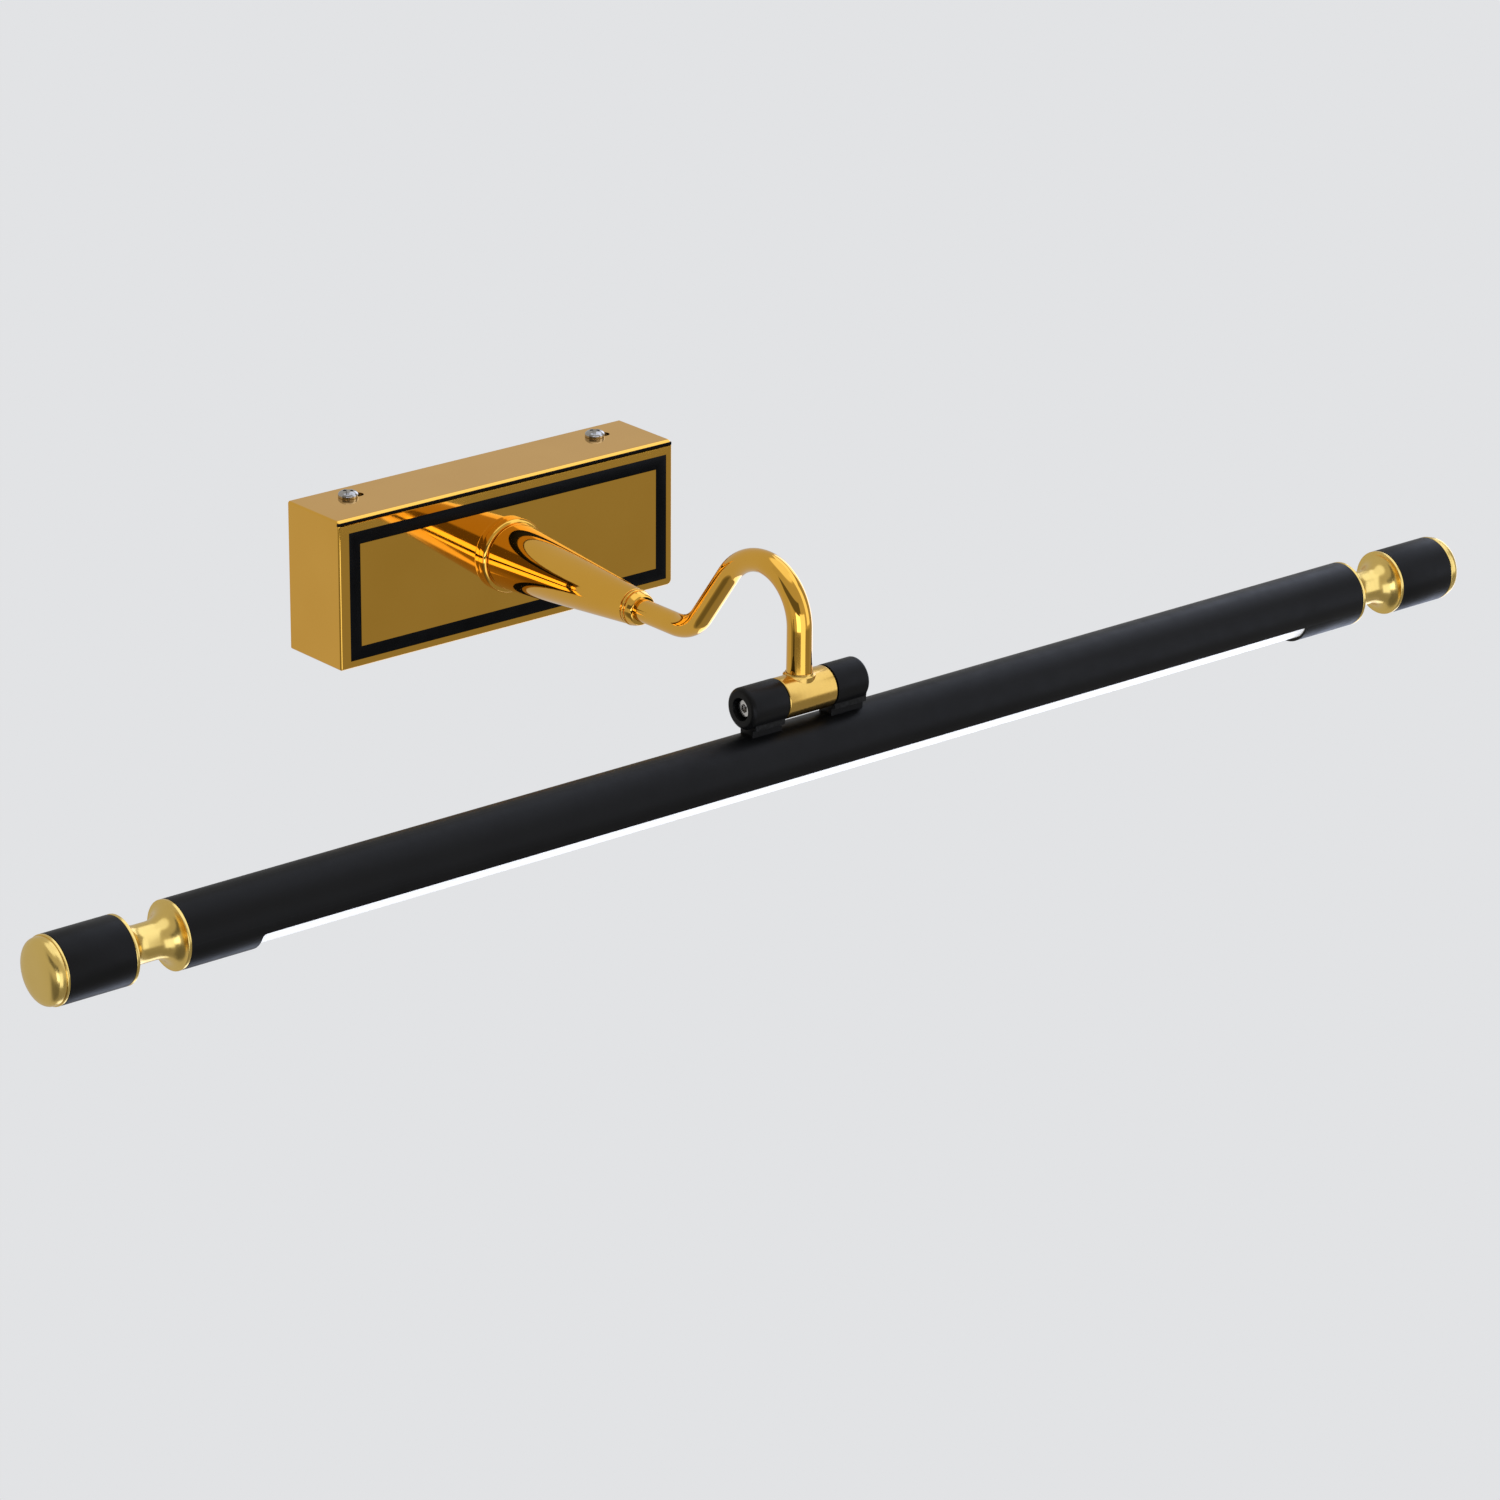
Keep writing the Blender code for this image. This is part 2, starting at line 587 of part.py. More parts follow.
def make_ears():
    left = ear_blank("hinge_ear_left", EAR_LEFT_X, True)
    boolean(left, add_object("join_foot_left", foot_mesh(FOOT_LEFT_X)), "UNION")
    boolean(left, lamp_clearance("cut_saddle_left"))
    bore = rod(2.0 + GAP, EAR_LEFT_X[0] - 5, EAR_LEFT_X[1] + 5, 20)
    boolean(left, add_object("cut_ear_bore_left", at_hinge(moved(bore, X_AXIS))))
    counterbore = rod(COUNTERBORE_R, EAR_LEFT_X[0] - 5, PIVOT_HEAD_X[1] + GAP, 28)
    boolean(left, add_object("cut_ear_counterbore", at_hinge(moved(counterbore, X_AXIS))))
    recess = rod(WASHER_RECESS_R, EAR_LEFT_X[1] - WASHER_RECESS, EAR_LEFT_X[1] + 3, 28)
    boolean(left, add_object("cut_washer_recess_left", at_hinge(moved(recess, X_AXIS))))
    right = ear_blank("hinge_ear_right", EAR_RIGHT_X, False)
    boolean(right, add_object("join_foot_right", foot_mesh(FOOT_RIGHT_X)), "UNION")
    boolean(right, lamp_clearance("cut_saddle_right"))
    bore = rod(BARREL_BORE_R, EAR_RIGHT_X[0] - 5, LEAD_BORE_END_X, 20)
    boolean(right, add_object("cut_ear_bore_right", at_hinge(moved(bore, X_AXIS))))
    recess = rod(WASHER_RECESS_R, EAR_RIGHT_X[0] - 3, EAR_RIGHT_X[0] + WASHER_RECESS, 28)
    boolean(right, add_object("cut_washer_recess_right", at_hinge(moved(recess, X_AXIS))))
    place = Matrix.Translation((LEAD_DROP_X, HINGE_Y, HINGE_Z))
    boolean(right, add_object("cut_ear_lead", moved(rod(2.0, -20, 0, 20), place)))
    for label, ear, x in (("left", left, EAR_SCREW_LEFT_X), ("right", right, EAR_SCREW_RIGHT_X)):
        place = Matrix.Translation((x, HINGE_Y, HINGE_Z))
        boolean(ear, add_object(f"cut_ear_tap_{label}", moved(rod(1.8, -20, -EAR_TAP_TOP, 20), place)))


def make_ear_screws():
    for label, x in (("left", EAR_SCREW_LEFT_X), ("right", EAR_SCREW_RIGHT_X)):
        top = HINGE_Z - EAR_TAP_TOP - 0.5
        seat = LAMP_Z + LAMP_BORE_R - GAP - 0.35
        profile = [(0, seat - 1.9), (2.4, seat - 1.9), (2.8, seat - 1.5), (2.8, seat),
                   (1.5, seat), (1.5, top - 0.3), (1.2, top), (0, top)]
        add_object(f"ear_screw_{label}", moved(turned(profile, 24), Matrix.Translation((x, HINGE_Y, 0))),
                   "zinc_steel", 40)


# ---- lamp head ----------------------------------------------------------------------------

def make_lamp_tube():
    body = ring_mesh(LAMP_R, LAMP_BORE_R, -LAMP_HALF, LAMP_HALF, 48)
    tube = add_object("lamp_tube", at_lamp(moved(body, X_AXIS)), "black_paint", 40)
    slot = box_mesh((-SLOT_HALF, -20, -30), (SLOT_HALF, 20, -SLOT_EDGE_DROP), 1.5, 3, along(1))
    boolean(tube, add_object("cut_light_slot", at_lamp(slot)))
    for i, (x, r) in enumerate(((EAR_SCREW_LEFT_X, 1.8), (EAR_SCREW_RIGHT_X, 1.8), (LEAD_DROP_X, 2.0))):
        hole = moved(rod(r, 5, 20, 20), Matrix.Translation((x, HINGE_Y, LAMP_Z)))
        boolean(tube, add_object(f"cut_tube_top_{i}", hole))


def make_light_engine():
    plate = [(-10.4, 1.6), (10.4, 1.6), (10.4, 4.0), (1.6, 4.0), (1.2, 7.6), (-1.2, 7.6),
             (-1.6, 4.0), (-10.4, 4.0)]
    sink = add_object("heat_sink", at_lamp(extruded(plate, -INSERT_HALF, INSERT_HALF)), "aluminium")
    hole = moved(rod(2.0, -3, 6, 20), Matrix.Translation((LEAD_DROP_X, HINGE_Y + 6, LAMP_Z)))
    boolean(sink, add_object("cut_sink_lead", hole))
    strip = box_mesh((-INSERT_HALF + 6, -6, -0.3), (INSERT_HALF - 6, 6, 1.3))
    board = add_object("led_board", at_lamp(strip), "led_white")
    chips = bmesh.new()
    pitch = 2 * SLOT_HALF / LED_COUNT
    for i in range(LED_COUNT):
        x = (i + 0.5) * pitch - SLOT_HALF
        made = bmesh.ops.create_cube(chips, size=1.0)["verts"]
        bmesh.ops.scale(chips, vec=(3.5, 2.8, 1.0), verts=made)
        bmesh.ops.translate(chips, vec=(x, 0, -0.5), verts=made)
    boolean(board, add_object("join_led_chips", at_lamp(chips)), "UNION")
    inner = DIFFUSER_R - DIFFUSER_T
    section = arc(DIFFUSER_R, -174, -6, 16) + arc(inner, -6, -174, 16)
    add_object("diffuser", at_lamp(extruded(section, -INSERT_HALF, INSERT_HALF)), "opal", 40)


def make_head_lead():
    z_in = HINGE_Z
    corners = [(19.0, HINGE_Y, z_in), (LEAD_DROP_X, HINGE_Y, z_in), (LEAD_DROP_X, HINGE_Y, LAMP_Z + 9.6),
               (LEAD_DROP_X, HINGE_Y + 6, LAMP_Z + 6.5), (LEAD_DROP_X, HINGE_Y + 6, LAMP_Z + 1.9)]
    path = rounded_path(corners, (1.8, 1.6, 1.6), math.radians(20))
    add_object("head_lead", swept(path, LEAD_R, 8), "lead_sheath", 50)


def at_end(bm, side):
    """Place a piece modelled along +Z at the right end, or mirrored at the left end."""
    moved(bm, X_AXIS)
    if side < 0:
        moved(bm, Matrix.Rotation(math.pi, 4, "Z"))
    return at_lamp(bm)


def make_spool(label, side, start):
    """A spool with a rim at each end and two coves that run into a short straight neck."""
    end = start + SPOOL_LENGTH
    middle = (start + end) / 2
    reach = SPOOL_LENGTH / 2 - SPOOL_RIM - SPOOL_STRAIGHT
    depth = LAMP_R - 0.25 - SPOOL_NECK_R
    cove = [(SPOOL_NECK_R + depth * (1 - math.sin(a)), middle - SPOOL_STRAIGHT - reach * math.cos(a))
            for a in [math.radians(d) for d in range(0, 91, 15)]]
    waist = cove + [(r, 2 * middle - height) for r, height in reversed(cove)]
    profile = [(STUD_R + GAP, start), (LAMP_R, start), (LAMP_R, start + SPOOL_RIM)] + waist
    profile += [(LAMP_R, end - SPOOL_RIM), (LAMP_R, end), (STUD_R + GAP, end)]
    add_object(f"finial_spool_{label}", at_end(turned(profile, 36, closed=True), side), "satin_gold", 30)


def make_sleeve(label, side, start):
    end = start + SLEEVE_LENGTH
    web, inner, bore = 2.0, 10.9, STUD_R + GAP
    profile = [(bore, start), (LAMP_R, start), (LAMP_R, end), (bore, end), (bore, end - web),
               (inner, end - web), (inner, start + web), (bore, start + web)]
    add_object(f"finial_sleeve_{label}", at_end(turned(profile, 36, closed=True), side), "black_paint", 35)


def make_cap(label, side, start):
    """An end cap: a lip and a full, low dome set in from it."""
    dome = [((LAMP_R - 0.45) * math.cos(a) ** 0.6, start + CAP_LIP + CAP_DOME * math.sin(a) ** 0.6)
            for a in [math.radians(d) for d in (0, 5, 15, 30, 48, 68)]]
    bore = STUD_R + GAP
    profile = [(0, start + 3.2), (bore, start + 3.2), (bore, start), (LAMP_R, start),
               (LAMP_R, start + CAP_LIP)] + dome + [(0, start + CAP_LIP + CAP_DOME)]
    add_object(f"finial_cap_{label}", at_end(turned(profile, 36), side), "satin_gold", 30)


def make_finial(label, side):
    plug = ring_mesh(LAMP_BORE_R - GAP, STUD_R + GAP, LAMP_HALF - 13, LAMP_HALF - 0.1, 32, 0.4)
    add_object(f"end_plug_{label}", at_end(plug, side), "aluminium", 35)
    spool = LAMP_HALF + GAP
    sleeve = spool + SPOOL_LENGTH + GAP
    cap = sleeve + SLEEVE_LENGTH + GAP
    make_spool(label, side, spool)
    make_sleeve(label, side, sleeve)
    make_cap(label, side, cap)
    stud = rod(STUD_R, LAMP_HALF - 12, cap + 2.8, 18, 0.4)
    add_object(f"finial_stud_{label}", at_end(stud, side), "zinc_steel", 35)


def make_lamp_head():
    make_lamp_tube()
    make_light_engine()
    make_head_lead()
    for label, side in (("left", -1), ("right", 1)):
        make_finial(label, side)


def set_head_pivot():
    """Give every piece of the tilting head its origin on the hinge axis."""
    pivot = Vector((0, HINGE_Y, HINGE_Z)) * MM
    fixed = ("wall_", "black_", "cover_", "led_driver", "terminal", "earth", "cone_", "arm_", "threaded",
             "nipple", "swan", "hinge_barrel", "pivot_", "cut_", "join_")
    for obj in bpy.data.objects:
        if obj.name.startswith(fixed):
            continue
        obj.data.transform(Matrix.Translation(-pivot))
        obj.location = pivot


def main():
    clear_scene()
    make_wall_plate()
    make_wall_cover()
    make_black_lines()
    make_cover_screws()
    make_driver()
    make_terminal_block()
    make_earth_screw()
    make_cone_parts()
    make_nipple_set()
    make_swan_neck()
    make_arm_lead()
    make_hinge_barrel()
    make_pivots()
    make_ears()
    make_ear_screws()
    make_lamp_head()
    set_head_pivot()


main()
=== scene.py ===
"""Looks of the wall picture light: fine pieces in place of the plain solids, finishes, studio.

Lengths are in metres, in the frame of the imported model: the origin is the middle of the wall
plate's back, +X runs along the lamp head, +Y goes into the wall and +Z is up.
"""
import json
import math

import bmesh
import bpy
from mathutils import Matrix, Vector


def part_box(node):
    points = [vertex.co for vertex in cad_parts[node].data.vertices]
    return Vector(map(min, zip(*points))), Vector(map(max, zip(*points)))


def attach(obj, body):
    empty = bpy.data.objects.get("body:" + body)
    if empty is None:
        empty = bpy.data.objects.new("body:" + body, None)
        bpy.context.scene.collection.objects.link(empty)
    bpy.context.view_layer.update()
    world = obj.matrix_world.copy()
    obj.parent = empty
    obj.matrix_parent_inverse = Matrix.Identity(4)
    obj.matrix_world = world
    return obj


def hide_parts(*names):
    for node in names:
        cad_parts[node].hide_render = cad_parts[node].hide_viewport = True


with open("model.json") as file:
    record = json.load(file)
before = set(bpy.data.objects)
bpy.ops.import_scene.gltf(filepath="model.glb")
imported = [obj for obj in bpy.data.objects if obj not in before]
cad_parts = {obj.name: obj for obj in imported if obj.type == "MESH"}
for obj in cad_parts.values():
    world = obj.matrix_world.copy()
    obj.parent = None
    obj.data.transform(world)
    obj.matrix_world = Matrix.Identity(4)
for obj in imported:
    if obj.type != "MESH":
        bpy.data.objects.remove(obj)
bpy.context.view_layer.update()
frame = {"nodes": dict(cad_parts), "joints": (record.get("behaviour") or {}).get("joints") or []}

MM = 0.001
FINE = 96                     # facets round a turned piece
SPIN_MERGE = 1e-7             # points this close after a spin are one point
CUT_MERGE = 1e-6              # and this close after a cut or a join
X = Vector((1, 0, 0))
Y = Vector((0, 1, 0))
Z = Vector((0, 0, 1))

HINGE = Vector(frame["joints"][0]["pos_m"])
ARM_BODY = "wall_mount"
HEAD_BODY = "lamp_head"
LAMP_LOW, LAMP_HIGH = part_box("lamp_tube")
LAMP_R = (LAMP_HIGH[2] - LAMP_LOW[2]) / 2
LAMP_CENTRE = Vector((0, HINGE.y, (LAMP_LOW[2] + LAMP_HIGH[2]) / 2))


def span(node, axis):
    """Lowest and highest coordinate of a node along one axis."""
    low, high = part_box(node)
    return low[axis], high[axis]


def size(node, axis):
    """How long a node is along one axis."""
    low, high = span(node, axis)
    return high - low


# ---- mesh helpers -------------------------------------------------------------------------

def loose(bm, name="cutter"):
    """A bmesh as a plain object in the scene."""
    mesh = bpy.data.meshes.new(name)
    bm.to_mesh(mesh)
    bm.free()
    obj = bpy.data.objects.new(name, mesh)
    bpy.context.scene.collection.objects.link(obj)
    return obj


def piece(name, bm, body, finish, replaces, sharp=32):
    """Turn a bmesh into a finished piece that stands for the plain solids it replaces."""
    obj = loose(bm, name)
    obj.data.materials.append(finish)
    obj.data.shade_smooth()
    obj.data.set_sharp_from_angle(angle=math.radians(sharp))
    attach(obj, body)
    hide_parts(*replaces)
    return obj


def combined(bm, others, operation="DIFFERENCE"):
    """Cut other bmeshes out of this one, or join them to it, and return the new bmesh."""
    target = loose(bm, "blank")
    helpers = [loose(other) for other in others]
    for helper in helpers:
        mod = target.modifiers.new("combine", "BOOLEAN")
        mod.operation = operation
        mod.solver = "EXACT"
        mod.object = helper
    bpy.context.view_layer.update()
    result = bmesh.new()
    result.from_object(target, bpy.context.evaluated_depsgraph_get())
    for obj in [target] + helpers:
        mesh = obj.data
        bpy.data.objects.remove(obj)
        bpy.data.meshes.remove(mesh)
    bmesh.ops.remove_doubles(result, verts=result.verts, dist=CUT_MERGE)
    return result


def rounded(points, steps=5):
    """A profile of (along, radius, corner) points with each corner drawn as an arc."""
    line = []
    for i, (along, radius, corner) in enumerate(points):
        here = Vector((along, radius))
        if not corner or i in (0, len(points) - 1):
            line.append(here)
            continue
        back = (Vector(points[i - 1][:2]) - here).normalized()
        ahead = (Vector(points[i + 1][:2]) - here).normalized()
        half = back.angle(ahead) / 2
        centre = here + (back + ahead).normalized() * (corner / math.sin(half))
        start = here + back * (corner / math.tan(half)) - centre
        end = here + ahead * (corner / math.tan(half)) - centre
        sweep = math.pi - 2 * half
        for k in range(steps + 1):
            t = k / steps
            mix = start * math.sin((1 - t) * sweep) + end * math.sin(t * sweep)
            line.append(centre + mix / math.sin(sweep))
    return line


def turned(profile, axis, centre=Vector((0, 0, 0)), steps=FINE, closed=False):
    """Spin a profile of (along, radius) points about an axis through centre."""
    bm = bmesh.new()
    out = X if abs(axis.z) > 0.5 else Z
    verts = [bm.verts.new(centre + axis * a + out * r) for a, r in profile]
    edges = [bm.edges.new(pair) for pair in zip(verts, verts[1:])]
    if closed:
        edges.append(bm.edges.new((verts[-1], verts[0])))
    bmesh.ops.spin(bm, geom=verts + edges, cent=centre, axis=axis, angle=2 * math.pi,
                   steps=steps, use_merge=True, use_duplicate=False)
    bmesh.ops.remove_doubles(bm, verts=bm.verts, dist=SPIN_MERGE)
    bmesh.ops.recalc_face_normals(bm, faces=bm.faces)
    return bm


def rod(axis, centre, start, end, radius, steps):
    """A plain round rod from start to end along an axis through centre."""
    return turned([(start, 0), (start, radius), (end, radius), (end, 0)], axis, centre, steps)


def stand_up(bm):
    """Turn a flat shape that faces up so that it faces along Y."""
    quarter = Matrix.Rotation(math.radians(90), 3, "X")
    bmesh.ops.rotate(bm, cent=(0, 0, 0), matrix=quarter, verts=bm.verts)


def block(low, high):
    """A box between two corners."""
    bm = bmesh.new()
    bmesh.ops.create_cube(bm, size=1.0)
    low, high = Vector(low), Vector(high)
    bmesh.ops.scale(bm, vec=high - low, verts=bm.verts)
    bmesh.ops.translate(bm, vec=(low + high) / 2, verts=bm.verts)
    return bm


def edge_middle(edge):
    return (edge.verts[0].co + edge.verts[1].co) / 2


def bevel(bm, edges, offset, segments):
    bmesh.ops.bevel(bm, geom=edges, offset=offset, offset_type="OFFSET", segments=segments,
                    profile=0.5, affect="EDGES", material=-1, clamp_overlap=True)


def runs_along(edge, axis):
    way = edge.verts[1].co - edge.verts[0].co
    return abs(way.dot(axis)) > 0.99 * way.length


def soften(bm, angle, offset, segments=2):
    """Take the edge off every corner sharper than angle."""
    edges = [e for e in bm.edges if e.is_manifold and e.calc_face_angle(0) > math.radians(angle)]
    bevel(bm, edges, offset, segments)


def new_verts(made):
    """The vertices among what an operator made."""
    return [item for item in made if isinstance(item, bmesh.types.BMVert)]


def push(bm, faces, step):
    """Extrude faces and move the new ones by step."""
    made = bmesh.ops.extrude_face_region(bm, geom=faces)["geom"]
    bmesh.ops.translate(bm, vec=step, verts=new_verts(made))


def arc_points(radius, start, end, steps):
    """(cos, sin) points of an arc given in degrees."""
    angles = [math.radians(start + (end - start) * i / steps) for i in range(steps + 1)]
    return [(radius * math.cos(a), radius * math.sin(a)) for a in angles]


# ---- finishes -----------------------------------------------------------------------------

class Finish:
    """A Principled material with a few short calls for its procedural detail."""

    def __init__(self, name, colour, roughness, metallic=0.0, **sockets):
        self.material = bpy.data.materials.new(name)
        self.material.use_nodes = True
        self.nodes = self.material.node_tree.nodes
        self.links = self.material.node_tree.links
        self.shader = self.nodes["Principled BSDF"]
        self.shader.inputs["Base Color"].default_value = (*colour, 1)
        self.shader.inputs["Roughness"].default_value = roughness
        self.shader.inputs["Metallic"].default_value = metallic
        for socket, value in sockets.items():
            self.shader.inputs[socket.replace("_", " ")].default_value = value
        self.height = None

    def node(self, kind, **values):
        made = self.nodes.new(kind)
        for key, value in values.items():
            if key in made.inputs:
                made.inputs[key].default_value = value
            else:
                setattr(made, key, value)
        return made

    def noise(self, scale, detail=3.0, stretch=(1, 1, 1), roughness=0.5):
        place = self.node("ShaderNodeTexCoord")
        mapping = self.node("ShaderNodeMapping")
        mapping.inputs["Scale"].default_value = stretch
        texture = self.node("ShaderNodeTexNoise", Scale=scale, Detail=detail, Roughness=roughness)
        self.links.new(place.outputs["Object"], mapping.inputs["Vector"])
        self.links.new(mapping.outputs["Vector"], texture.inputs["Vector"])
        return texture.outputs["Fac"]

    def ramp(self, source, low, high, start=0.35, end=0.65):
        ramp = self.node("ShaderNodeValToRGB")
        ramp.color_ramp.elements[0].position = start
        ramp.color_ramp.elements[0].color = (*low, 1)
        ramp.color_ramp.elements[1].position = end
        ramp.color_ramp.elements[1].color = (*high, 1)
        self.links.new(source, ramp.inputs["Fac"])
        return ramp.outputs["Color"]

    def spread(self, source, low, high, start=0.3, end=0.7):
        """Map a noise value onto a range of numbers."""
        remap = self.node("ShaderNodeMapRange")
        remap.inputs["From Min"].default_value = start
        remap.inputs["From Max"].default_value = end
        remap.inputs["To Min"].default_value = low
        remap.inputs["To Max"].default_value = high
        self.links.new(source, remap.inputs["Value"])
        return remap.outputs["Result"]

    def colour(self, source):
        self.links.new(source, self.shader.inputs["Base Color"])
        return self

    def rough(self, source):
        self.links.new(source, self.shader.inputs["Roughness"])
        return self

    def bump(self, source, strength, distance):
        made = self.node("ShaderNodeBump")
        made.inputs["Strength"].default_value = strength
        made.inputs["Distance"].default_value = distance
        self.links.new(source, made.inputs["Height"])
        if self.height:
            self.links.new(self.height, made.inputs["Normal"])
        self.height = made.outputs["Normal"]
        self.links.new(self.height, self.shader.inputs["Normal"])
        return self

    def worn(self, clean, bare, start, end):
        """Let edges show through: the mesh's own convex corners are a little barer."""
        edge = self.node("ShaderNodeNewGeometry").outputs["Pointiness"]
        fleck = self.spread(self.noise(900, 4), 0.2, 1.0, 0.4, 0.6)
        mix = self.node("ShaderNodeMath", operation="MULTIPLY")
        self.links.new(self.spread(edge, 0.0, 1.0, start, end), mix.inputs[0])
        self.links.new(fleck, mix.inputs[1])
        blend = self.node("ShaderNodeMix", data_type="RGBA")
        self.links.new(mix.outputs[0], blend.inputs[0])
        self.links.new(clean, blend.inputs[6])
        blend.inputs[7].default_value = (*bare, 1)
        self.links.new(blend.outputs[2], self.shader.inputs["Base Color"])
        return self


def polished_gold():
    f = Finish("polished_gold", (0.90, 0.48, 0.062), 0.05, 1.0, Coat_Weight=0.2, Coat_Roughness=0.04)
    f.colour(f.ramp(f.noise(26, 2), (0.885, 0.468, 0.058), (0.915, 0.492, 0.066)))
    f.rough(f.spread(f.noise(180, 3), 0.035, 0.065))
    f.bump(f.noise(40, 1), 0.01, 0.0003)
    f.bump(f.noise(1500, 2), 0.01, 0.00001)
    return f.material


def satin_gold():
    f = Finish("satin_gold", (0.86, 0.60, 0.17), 0.22, 1.0)
    rings = f.noise(1800, 2, (1, 0.02, 0.02))
    f.colour(f.ramp(f.noise(40, 3), (0.845, 0.585, 0.16), (0.875, 0.615, 0.18)))
    f.rough(f.spread(rings, 0.19, 0.26))
    f.bump(rings, 0.03, 0.00001)
    return f.material


def barrel_gold():
    """Brushed gold of the hinge barrel, finer and deeper in colour than the turned ends."""
    f = Finish("barrel_gold", (0.74, 0.45, 0.10), 0.20, 1.0)
    rings = f.noise(1600, 2, (1, 0.03, 0.03))
    f.colour(f.ramp(f.noise(50, 3), (0.72, 0.43, 0.09), (0.76, 0.47, 0.11)))
    f.rough(f.spread(rings, 0.17, 0.23))
    f.bump(rings, 0.03, 0.00001)
    return f.material


def black_coat():
    f = Finish("black_coat", (0.0035, 0.0035, 0.0035), 0.42, 0.0, Specular_IOR_Level=0.17,
               Specular_Tint=(1.0, 0.94, 0.84, 1.0))
    tone = f.ramp(f.noise(30, 3), (0.0028, 0.0028, 0.0028), (0.0042, 0.0042, 0.0040))
    f.worn(tone, (0.014, 0.014, 0.013), 0.56, 0.66)
    f.rough(f.spread(f.noise(160, 4), 0.38, 0.46))
    f.bump(f.noise(1900, 3), 0.06, 0.00003)
    return f.material


# Black enamel of the front line; on the strip in the seam below the fold the same black is painted shadow.
def line_enamel_and_seam_shade():
    f = Finish("line_enamel_and_seam_shade", (0.003, 0.003, 0.003), 0.30, 0.0, Specular_IOR_Level=0.07,
               Specular_Tint=(1.0, 0.95, 0.86, 1.0))
    f.colour(f.ramp(f.noise(60, 3), (0.0022, 0.0024, 0.0026), (0.0036, 0.0038, 0.0040)))
    f.rough(f.spread(f.noise(300, 3), 0.24, 0.36))
    f.bump(f.noise(1400, 2), 0.05, 0.00003)
    return f.material


def nickel():
    f = Finish("nickel", (0.70, 0.68, 0.65), 0.16, 1.0)
    f.colour(f.ramp(f.noise(300, 3), (0.62, 0.60, 0.57), (0.74, 0.72, 0.69)))
    f.rough(f.spread(f.noise(900, 4), 0.12, 0.26))
    f.bump(f.noise(1500, 3), 0.05, 0.00004)
    return f.material


def screw_steel():
    """Darker plated steel of the two cover screws."""
    f = Finish("screw_steel", (0.46, 0.44, 0.41), 0.14, 1.0)
    f.colour(f.ramp(f.noise(400, 3), (0.38, 0.36, 0.33), (0.54, 0.52, 0.48)))
    f.rough(f.spread(f.noise(900, 4), 0.10, 0.20))
    f.bump(f.noise(1500, 3), 0.05, 0.00004)
    return f.material


def zinc():
    f = Finish("zinc_plate", (0.50, 0.51, 0.52), 0.36, 1.0)
    f.colour(f.ramp(f.noise(120, 5, roughness=0.7), (0.42, 0.43, 0.45), (0.60, 0.60, 0.60)))
    f.rough(f.spread(f.noise(240, 4), 0.28, 0.48))
    f.bump(f.noise(700, 4), 0.08, 0.00005)
    return f.material


def aluminium():
    f = Finish("aluminium", (0.66, 0.67, 0.68), 0.34, 1.0)
    lines = f.noise(1500, 3, (0.01, 1, 1))
    f.colour(f.ramp(f.noise(60, 4), (0.60, 0.61, 0.62), (0.70, 0.71, 0.72)))
    f.rough(f.spread(lines, 0.26, 0.42))
    f.bump(lines, 0.12, 0.00005)
    return f.material


def turned_brass():
    f = Finish("turned_brass", (0.70, 0.52, 0.22), 0.26, 1.0)
    f.colour(f.ramp(f.noise(200, 4), (0.62, 0.44, 0.17), (0.74, 0.56, 0.25)))
    f.rough(f.spread(f.noise(700, 4), 0.20, 0.36))
    f.bump(f.noise(2200, 3), 0.06, 0.00003)
    return f.material


def moulded(name, colour, roughness, shift=0.05):
    """Moulded plastic: slight tone, gloss and grain."""
    f = Finish(name, colour, roughness, 0.0)
    darker = tuple(c * (1 - shift) for c in colour)
    f.colour(f.ramp(f.noise(80, 3), darker, colour))
    f.rough(f.spread(f.noise(260, 3), roughness - 0.06, roughness + 0.08))
    f.bump(f.noise(1700, 3), 0.06, 0.00004)
    return f.material


def opal():
    f = Finish("opal_acrylic", (0.92, 0.91, 0.89), 0.36, 0.0, Emission_Strength=1.0)
    glow = f.ramp(f.noise(5, 2, (1, 0.1, 0.1)), (0.40, 0.397, 0.385), (0.46, 0.457, 0.445))
    f.links.new(glow, f.shader.inputs["Emission Color"])
    f.colour(f.ramp(f.noise(60, 2), (0.90, 0.90, 0.88), (0.94, 0.935, 0.92)))
    f.rough(f.spread(f.noise(500, 3), 0.30, 0.42))
    f.bump(f.noise(1300, 2), 0.03, 0.00003)
    return f.material


GOLD = polished_gold()
SATIN = satin_gold()
BARREL_GOLD = barrel_gold()
BLACK = black_coat()
ENAMEL_AND_SEAM_SHADE = line_enamel_and_seam_shade()
NICKEL = nickel()
SCREW_STEEL = screw_steel()
ZINC = zinc()
ALUMINIUM = aluminium()
BRASS = turned_brass()
OPAL = opal()
WHITE_CASE = moulded("white_case", (0.80, 0.80, 0.78), 0.42)
NYLON = moulded("nylon", (0.66, 0.64, 0.58), 0.48)
BOARD = moulded("board_white", (0.84, 0.84, 0.80), 0.36)
SILICONE = moulded("silicone_sheath", (0.60, 0.61, 0.62), 0.44)


# ---- canopy -------------------------------------------------------------------------------

